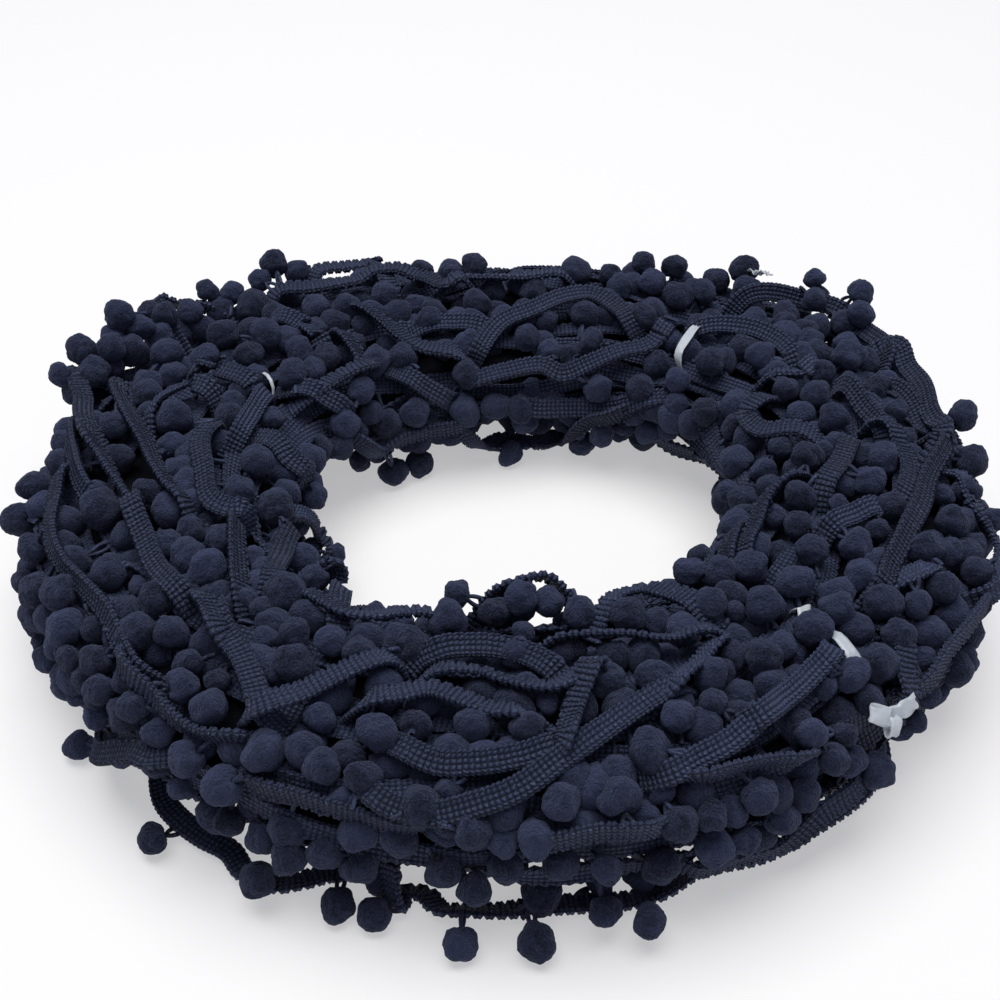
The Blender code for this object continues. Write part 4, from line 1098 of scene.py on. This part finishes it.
@dataclass(frozen=True)
class Tie:
    """A strip of soft plastic tied round the ring, with a knot and loose ends.

    It shows only where it is bare, between the given section angles, and is buried in the trim elsewhere.
    Each loose end has a heading, a length and a rise, and each loop a heading and a length.
    """

    name: str
    turn: float
    slant: float
    knot: float
    ends: tuple[tuple[float, float, float], ...]
    loops: tuple[tuple[float, float], ...]
    bare: tuple[tuple[float, float], ...]
    phase: float = 0.0
    width: float = 3.6
    thickness: float = 0.28
    lift: float = 0.9
    buried_lift: float = -12.0
    knot_lift: float = 0.5
    steps: int = 120

    def ribbon(self, shape: bmesh.types.BMesh, middles: Array, across: Array, out: Array, closed: bool,
               seed: int) -> None:
        """Adds a creased ribbon.

        Args:
            shape: The bmesh that it joins.
            middles: Its middle line.
            across: The way across it at each station.
            out: The way out of its face at each station.
            closed: Whether its ends meet.
            seed: The number that its creases are drawn from.
        """
        draw = np.random.default_rng(seed)
        shares = np.array([-1.0, -0.55, -0.1, 0.35, 0.75, 1.0])
        phases = draw.uniform(0, 6, len(shares))
        rungs = []
        # Folds run along the strip and creases cross it, a whole number of times where its ends meet.
        for number, (middle, side, way) in enumerate(zip(middles, across, out)):
            crease = 0.32 * np.sin(number * 0.9 + phases) + 0.22 * np.cos(shares * 7 + seed)
            if closed:
                crease = 0.3 * np.cos(shares * 7 + seed) + 0.16 * np.sin(
                    2 * np.pi * 23 * number / len(middles) + phases)
            narrow = 1.0 - 0.18 * np.sin(number * 0.37 + seed) ** 2
            rungs.append([shape.verts.new(middle + side * share * self.width / 2 * narrow + way * fold)
                          for share, fold in zip(shares, crease)])
        following = rungs[1:] + rungs[:1] if closed else rungs[1:]
        for here, there in zip(rungs, following):
            for corner in range(len(shares) - 1):
                shape.faces.new((here[corner], there[corner], there[corner + 1], here[corner + 1]))

    def build(self, ring: Ring, material: bpy.types.Material) -> bpy.types.Object:
        """Makes the tie.

        Args:
            ring: The ring that it is tied round.
            material: Its finish.

        Returns:
            The new object.
        """
        shape = bmesh.new()
        around = np.linspace(0, 360, self.steps, endpoint=False)
        turn = self.turn + self.slant * np.cos(np.radians(around - self.phase))
        shown = np.max([1 / (1 + np.exp((np.abs(around - (first + last) / 2) - (last - first) / 2) / 2.0))
                        for first, last in self.bare], axis=0)
        middles = ring.point(turn, around, self.buried_lift + (self.lift - self.buried_lift) * shown)
        out = ring.normal(turn, around)
        along = unit(np.roll(middles, -1, axis=0) - np.roll(middles, 1, axis=0))
        across = unit(np.cross(along, out))
        middles[:, 2] = np.maximum(middles[:, 2], 0.5)
        self.ribbon(shape, middles, across, out, True, len(self.name))
        place = int(round((self.knot % 360) / 360 * self.steps)) % self.steps
        way, side, ahead = out[place], across[place], along[place]
        # The knot stands on top even where the strip is buried.
        root = middles[place] + way * (self.knot_lift - self.buried_lift)
        seed = len(self.name) * 10
        share = np.linspace(0, 2 * np.pi, 18)[:, None]
        for number, (heading, length) in enumerate(self.loops):
            lean = radians(heading)
            first = unit(ahead * np.sin(lean) + side * np.cos(lean))
            second = unit(np.cross(way, first))
            line = (root + way * 1.6 + first * (1 - np.cos(share)) * length / 2
                    + way * np.sin(share) * 1.1 + second * 0.5 * np.sin(share + number))
            self.ribbon(shape, line, np.repeat(second[None], len(line), axis=0),
                        unit(np.cross(np.gradient(line, axis=0), second)), False, seed + number)
        for number, (heading, length, rise) in enumerate(self.ends):
            lean = radians(heading)
            first = unit(ahead * np.sin(lean) + side * np.cos(lean))
            share = np.linspace(0, 1, 16)[:, None]
            line = (root + way * 1.4 + first * share * length
                    + way * (np.sin(share * np.pi * 0.8) * rise) + side * 0.6 * np.sin(share * 9 + number))
            line[:, 2] = np.maximum(line[:, 2], 0.6)
            ahead_of = unit(np.gradient(line, axis=0))
            crossing = unit(np.cross(ahead_of, way))
            self.ribbon(shape, line, crossing, np.cross(crossing, ahead_of), False, seed + 20 + number)
        bmesh.ops.scale(shape, vec=(MM, MM, MM), verts=shape.verts)
        for face in shape.faces:
            face.smooth = True
        mesh = bpy.data.meshes.new(self.name)
        shape.to_mesh(mesh)
        shape.free()
        mesh.materials.append(material)
        made = new_object(self.name, mesh)
        wall = made.modifiers.new("film", "SOLIDIFY")
        wall.thickness = self.thickness * MM
        wall.offset = 0.0
        return made


TIES = (
    Tie("tie_back", turn=40.4, slant=10.0, knot=45, ends=((0, 4.0, 1.0), (178, 6.0, 1.5)), loops=(),
        bare=((98, 131),), phase=75.0, lift=2.4, knot_lift=4.6),
    Tie("tie_front", turn=325.0, slant=-10.5, knot=30, ends=((0, 9.5, 1.0),),
        loops=((150, 8.0), (250, 5.0)), bare=((51, 75), (84, 91)), phase=25.0, width=4.8),
    Tie("tie_left", turn=145.6, slant=-14.0, knot=-12, ends=((20, 8, 1.0), (150, 7, 1.0)),
        loops=((0, 5.0),), bare=((103, 120),), width=1.0),
)
# Pompoms above this lift are drawn finer than the deep ones, and with their loops.
NEAR_LIFT = -6.5
TIE_NODES = {"tie_back": "strip_back", "tie_front": "strip_front", "tie_left": "strip_left"}


@dataclass(frozen=True)
class Winder:
    """The inner winding, finished in painted shade, that shows only as darkness between the turns."""

    depth: float = 10.0
    turns: int = 150
    sides: int = 40
    lump: float = 1.6
    lump_length: float = 6.0
    middle_radius: float = 110.0
    least_height: float = 0.4

    def build(self, ring: Ring, material: bpy.types.Material) -> bpy.types.Object:
        """Makes the inner winding.

        Args:
            ring: The ring whose skin it lies under.
            material: Its finish.

        Returns:
            The new object.
        """
        turn, around = np.meshgrid(np.arange(self.turns) * 360 / self.turns,
                                   np.arange(self.sides) * 360 / self.sides, indexing="ij")
        points = ring.point(turn.ravel(), around.ravel(), -self.depth)
        for number, place in enumerate(points):
            lump = noise.noise(Vector(place) / self.lump_length) * self.lump
            points[number, 2] = max(self.least_height, place[2] + lump)
            points[number, :2] *= 1 + lump / self.middle_radius
        faces, _, _ = tube_faces(self.turns, self.sides, closed=True)
        mesh = Mesh()
        mesh.add(points, faces, np.zeros((faces.size, 2)), 0.2)
        return mesh.build("inner_winding", material)


@dataclass(frozen=True)
class FeltedYarn:
    """Felted acrylic pompom yarn: matt and velvety, with fine fuzz that catches a paler rim of light.

    Its fibres are far too fine to show, so they are drawn as 0.6 mm tufts.
    """

    dark: str = "#0d101b"
    light: str = "#333953"
    fuzz: str = "#8690b2"
    fibre_mm: float = 0.6
    mottle_mm: float = 2.4

    def material(self) -> bpy.types.Material:
        """Makes the finish.

        Returns:
            The material.
        """
        made, tree, shader = new_finish("felted_yarn", {
            "Roughness": 0.95, "Specular IOR Level": 0.15, "Sheen Weight": 0.4, "Sheen Roughness": 0.45,
            "Sheen Tint": linear(self.fuzz)})
        place = add_node(tree, "ShaderNodeTexCoord").outputs["Object"]
        fibre = add_node(tree, "ShaderNodeTexNoise", None, {
            "Vector": place, "Scale": 1 / (self.fibre_mm * MM), "Detail": 3.0, "Roughness": 0.65})
        mottle = add_node(tree, "ShaderNodeTexNoise", None, {
            "Vector": place, "Scale": 1 / (self.mottle_mm * MM), "Detail": 4.0, "Roughness": 0.6})
        tone = add_node(tree, "ShaderNodeAttribute", {"attribute_name": "tone"})
        own = add_node(tree, "ShaderNodeMath", {"operation": "MULTIPLY"}, {0: tone.outputs["Fac"], 1: 0.35})
        mixed = add_node(tree, "ShaderNodeMath", {"operation": "MULTIPLY_ADD"}, {
            0: mottle.outputs["Fac"], 1: 0.7, 2: own.outputs[0]})
        flecked = add_node(tree, "ShaderNodeMath", {"operation": "MULTIPLY_ADD"}, {
            0: fibre.outputs["Fac"], 1: 0.7, 2: mixed.outputs[0]})
        ramp = add_node(tree, "ShaderNodeMapRange", None, {
            "Value": flecked.outputs[0], "From Min": 0.55, "From Max": 1.2})
        colour = add_node(tree, "ShaderNodeMix", {"data_type": "RGBA"}, {
            "Factor": ramp.outputs["Result"], 6: linear(self.dark), 7: linear(self.light)})
        clumps = add_node(tree, "ShaderNodeBump", None, {
            "Height": mottle.outputs["Fac"], "Strength": 1.0, "Distance": 1.3 * MM})
        bump = add_node(tree, "ShaderNodeBump", None, {
            "Height": fibre.outputs["Fac"], "Strength": 0.9, "Distance": 0.6 * MM,
            "Normal": clumps.outputs["Normal"]})
        tree.links.new(colour.outputs[2], shader.inputs["Base Color"])
        tree.links.new(bump.outputs["Normal"], shader.inputs["Normal"])
        return made


@dataclass(frozen=True)
class WovenBraid:
    """Woven polyester braid: a grid of small corded cells, a little smoother than the pompoms.

    Its pale flecks are painted glints on its fibres, drawn 0.5 mm wide so that they show. The near-black
    grooves between its cords are painted shade.
    """

    # The groove colour is painted shade in the gaps between the cords, and the fleck colour is painted glints
    # on the fibres.
    groove: str = "#04050c"
    cord: str = "#313952"
    glint_fleck: str = "#5e688a"
    sheen: str = "#7b88b4"
    rib_mm: float = 1.45
    column_mm: float = 1.3
    waver_mm: float = 2.5
    fibre_mm: float = 0.5

    def material(self) -> bpy.types.Material:
        """Makes the finish.

        Returns:
            The material.
        """
        made, tree, shader = new_finish("woven_braid", {
            "Roughness": 0.65, "Specular IOR Level": 0.25, "Sheen Weight": 0.2,
            "Sheen Tint": linear(self.sheen)})
        uv = add_node(tree, "ShaderNodeUVMap", {"uv_map": "length_and_width"}).outputs["UV"]
        place = add_node(tree, "ShaderNodeTexCoord").outputs["Object"]
        waver = add_node(tree, "ShaderNodeTexNoise", None, {
            "Vector": place, "Scale": 1 / (self.waver_mm * MM), "Detail": 2.0})
        split = add_node(tree, "ShaderNodeSeparateXYZ", None, {"Vector": uv})
        along = add_node(tree, "ShaderNodeMath", {"operation": "MULTIPLY_ADD"}, {
            0: waver.outputs["Fac"], 1: 0.5, 2: split.outputs["X"]})
        across = add_node(tree, "ShaderNodeMath", {"operation": "MULTIPLY_ADD"}, {
            0: waver.outputs["Fac"], 1: 0.4, 2: split.outputs["Y"]})
        ribs = self.wave(tree, along.outputs[0], self.rib_mm)
        columns = self.wave(tree, across.outputs[0], self.column_mm)
        rib = add_node(tree, "ShaderNodeMath", {"operation": "POWER"}, {0: ribs, 1: 0.7}).outputs[0]
        dent = add_node(tree, "ShaderNodeMath", {"operation": "MULTIPLY_ADD"}, {
            0: columns, 1: 0.65, 2: 0.35})
        height = add_node(tree, "ShaderNodeMath", {"operation": "MULTIPLY"}, {
            0: rib, 1: dent.outputs[0]}).outputs[0]
        fibre = add_node(tree, "ShaderNodeTexNoise", None, {
            "Vector": place, "Scale": 1 / (self.fibre_mm * MM), "Detail": 2.0})
        tone = add_node(tree, "ShaderNodeAttribute", {"attribute_name": "tone"})
        lit = add_node(tree, "ShaderNodeMath", {"operation": "MULTIPLY_ADD"}, {
            0: tone.outputs["Fac"], 1: 0.35, 2: 0.62})
        raised = add_node(tree, "ShaderNodeMapRange", None, {
            "Value": height, "From Min": 0.12, "From Max": 0.75})
        cover = add_node(tree, "ShaderNodeMath", {"operation": "MULTIPLY"}, {
            0: raised.outputs["Result"], 1: lit.outputs[0]})
        # The cords' colour gives way to the groove colour in the gaps between them: painted shade.
        base = add_node(tree, "ShaderNodeMix", {"data_type": "RGBA"}, {
            "Factor": cover.outputs[0], 6: linear(self.groove), 7: linear(self.cord)})
        # Pale flecks where the fine noise peaks are painted glints on the fibres.
        painted_glint_mask = add_node(tree, "ShaderNodeMapRange", None, {
            "Value": fibre.outputs["Fac"], "From Min": 0.6, "From Max": 0.78})
        colour = add_node(tree, "ShaderNodeMix", {"data_type": "RGBA"}, {
            "Factor": painted_glint_mask.outputs["Result"], 6: base.outputs[2], 7: linear(self.glint_fleck)})
        bump = add_node(tree, "ShaderNodeBump", None, {
            "Height": height, "Strength": 1.0, "Distance": 1.0 * MM})
        fine = add_node(tree, "ShaderNodeBump", None, {
            "Height": fibre.outputs["Fac"], "Strength": 0.4, "Distance": 0.2 * MM,
            "Normal": bump.outputs["Normal"]})
        tree.links.new(colour.outputs[2], shader.inputs["Base Color"])
        tree.links.new(fine.outputs["Normal"], shader.inputs["Normal"])
        return made

    def wave(self, tree: bpy.types.NodeTree, along: bpy.types.NodeSocket,
             pitch: float) -> bpy.types.NodeSocket:
        """A rounded cord at each pitch, from 0 in the groove to 1 on top.

        Args:
            tree: The material's node tree.
            along: The distance in millimetres.
            pitch: The distance from groove to groove.

        Returns:
            The output that holds the height.
        """
        turned = add_node(tree, "ShaderNodeMath", {"operation": "MULTIPLY"}, {0: along, 1: np.pi / pitch})
        sine = add_node(tree, "ShaderNodeMath", {"operation": "SINE"}, {0: turned.outputs[0]})
        return add_node(tree, "ShaderNodeMath", {"operation": "ABSOLUTE"}, {0: sine.outputs[0]}).outputs[0]


@dataclass(frozen=True)
class SoftPlastic:
    """Soft milky polyethylene film, creased where it was pulled tight."""

    film: str = "#e4eaf0"
    crease_mm: float = 1.8

    def material(self) -> bpy.types.Material:
        """Makes the finish.

        Returns:
            The material.
        """
        made, tree, shader = new_finish("soft_milky_film", {
            "Base Color": linear(self.film), "Roughness": 0.28, "IOR": 1.5, "Transmission Weight": 0.45})
        place = add_node(tree, "ShaderNodeTexCoord").outputs["Object"]
        crumple = add_node(tree, "ShaderNodeTexNoise", None, {
            "Vector": place, "Scale": 1 / (self.crease_mm * MM), "Detail": 3.0})
        bump = add_node(tree, "ShaderNodeBump", None, {
            "Height": crumple.outputs["Fac"], "Strength": 0.6, "Distance": 0.6 * MM})
        tree.links.new(bump.outputs["Normal"], shader.inputs["Normal"])
        return made


@dataclass(frozen=True)
class DeepYarnPaintedShade:
    """The same yarn deep between the turns, coloured far darker than its own dye as painted shade, since
    hardly any light reaches it.
    """

    # Both colours are painted shade, far darker than the yarn's own dye.
    painted_shade_colour: str = "#08080d"
    tuft: str = "#12141d"
    tuft_mm: float = 3.0

    def material(self) -> bpy.types.Material:
        """Makes the finish.

        Returns:
            The material.
        """
        made, tree, shader = new_finish("deep_yarn_painted_shade", {"Roughness": 0.95, "Specular IOR Level": 0.1})
        place = add_node(tree, "ShaderNodeTexCoord").outputs["Object"]
        tuft = add_node(tree, "ShaderNodeTexNoise", None, {
            "Vector": place, "Scale": 1 / (self.tuft_mm * MM), "Detail": 4.0})
        # The tufted colour is painted shade.
        colour = add_node(tree, "ShaderNodeMix", {"data_type": "RGBA"}, {
            "Factor": tuft.outputs["Fac"], 6: linear(self.painted_shade_colour), 7: linear(self.tuft)})
        bump = add_node(tree, "ShaderNodeBump", None, {
            "Height": tuft.outputs["Fac"], "Strength": 1.0, "Distance": 1.5 * MM})
        tree.links.new(colour.outputs[2], shader.inputs["Base Color"])
        tree.links.new(bump.outputs["Normal"], shader.inputs["Normal"])
        return made


@dataclass(frozen=True)
class Studio:
    """A white table top with a painted glow, under soft light from above, and the camera."""

    floor_size: float = 6.0
    # The table's grey base and its painted glow add up to white.
    floor_colour: str = "#b9b7b4"
    floor_painted_glow: float = 0.44
    eye_mm: tuple[float, float, float] = (-3.47, -367.4, 336.2)
    tilt: float = 50.2
    lens_mm: float = 56.7
    sensor_mm: float = 36.0
    lamps: tuple[tuple[str, tuple[float, float, float], float, float], ...] = (
        ("above", (-0.1, 0.15, 1.6), 1.5, 32.5),
        ("front", (0.2, -1.2, 0.9), 0.9, 2.0),
    )
    room_colour: str = "#d4dcff"
    room_strength: float = 0.22

    def floor(self) -> bpy.types.Object:
        """Makes the table top.

        Returns:
            The new object.
        """
        shape = bmesh.new()
        bmesh.ops.create_grid(shape, x_segments=1, y_segments=1, size=self.floor_size / 2)
        mesh = bpy.data.meshes.new("table_top")
        shape.to_mesh(mesh)
        shape.free()
        # Matt white table top with a painted glow: its emission keeps the shadow on it pale and lights the
        # hank faintly from below.
        finish, _, _ = new_finish("white_table_painted_glow", {
            "Base Color": linear(self.floor_colour), "Roughness": 0.6, "Specular IOR Level": 0.2,
            "Emission Color": linear("#fdfdff"), "Emission Strength": self.floor_painted_glow})
        mesh.materials.append(finish)
        return new_object("table_top", mesh)

    def light(self) -> None:
        """Hangs one broad soft light above, a weak one in front, and gives the room a pale glow."""
        for name, place, size, power in self.lamps:
            lamp = bpy.data.lights.new(name, "AREA")
            lamp.size = size
            lamp.energy = power
            made = new_object(name, lamp)
            made.location = place
            made.rotation_euler = (-Vector(place)).to_track_quat("-Z", "Y").to_euler()
        world = bpy.data.worlds.new("room")
        world.use_nodes = True
        glow = world.node_tree.nodes["Background"]
        glow.inputs["Color"].default_value = linear(self.room_colour)
        glow.inputs["Strength"].default_value = self.room_strength
        bpy.context.scene.world = world
        bpy.context.scene.view_settings.view_transform = "Standard"

    def camera(self) -> None:
        """Sets the camera at the viewing angle of the photograph."""
        data = bpy.data.cameras.new("camera")
        data.sensor_width = self.sensor_mm
        data.lens = self.lens_mm
        data.clip_start, data.clip_end = 0.01, 20.0
        made = new_object("camera", data)
        made.location = [value * MM for value in self.eye_mm]
        made.rotation_euler = (radians(self.tilt), 0.0, 0.0)
        bpy.context.scene.camera = made


def put(piece: bpy.types.Object, node: str) -> None:
    """Fixes a finished piece to the model.

    Args:
        piece: The piece.
        node: The CAD node that it stands for.
    """
    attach(piece, "root")
    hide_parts(node)
    triangles = sum(len(face.vertices) - 2 for face in piece.data.polygons)
    LOG.info("%s: %d triangles", piece.name, triangles)


def main() -> None:
    """Builds the hank and its studio."""
    logging.basicConfig(level=logging.INFO, format="%(message)s")
    ring, braid, pompom = Ring(), Braid(), Pompom()
    finishes = (FeltedYarn(), WovenBraid(), SoftPlastic(), DeepYarnPaintedShade())
    yarn, woven, film, deep = (finish.material() for finish in finishes)
    put(Winder().build(ring, deep), "hank")
    plain = Braid(stations_per_rib=1)
    winding = Winding(ring, braid, plain, pompom)
    winding.lay()
    half = len(winding.upper) // 2
    groups = (
        ("braid_upper_1", braid, winding.upper[:half]),
        ("braid_upper_2", braid, winding.upper[half:]),
        ("braid_lower", plain, winding.lower),
    )
    for name, kind, group in groups:
        mesh = Mesh()
        for laid in group:
            kind.dress(mesh, laid)
        put(mesh.build(name, woven), "hank")
    hung = winding.hang()
    fringe = Fringe(pompom)
    order = np.arange(len(hung.radii))
    lift, _ = ring.lift_of(hung.middles)
    seen, first = order < len(SEEN_POMPOMS), order < len(SEEN_POMPOMS) // 2
    near = ~seen & (lift > NEAR_LIFT)
    LOG.info("%d pompoms, %d of them near the skin", len(order), near.sum())
    sets = (
        ("pompoms_seen_1", first, 4),
        ("pompoms_seen_2", seen & ~first, 4),
        ("pompoms_near", near, 3),
        ("pompoms_deep", ~seen & ~near, 2),
    )
    for name, mask, subdivisions in sets:
        mesh = Mesh()
        fringe.add_pompoms(mesh, hung.take(mask), subdivisions)
        put(mesh.build(name, yarn), "hank")
    mesh = Mesh()
    fringe.add_loops(mesh, hung.take(seen), 8, 5)
    fringe.add_loops(mesh, hung.take(near), 4, 3)
    put(mesh.build("loops", woven), "hank")
    for tie in TIES:
        put(tie.build(ring, film), TIE_NODES[tie.name])
    studio = Studio()
    studio.floor()
    studio.light()
    studio.camera()


if __name__ == "__main__":
    main()
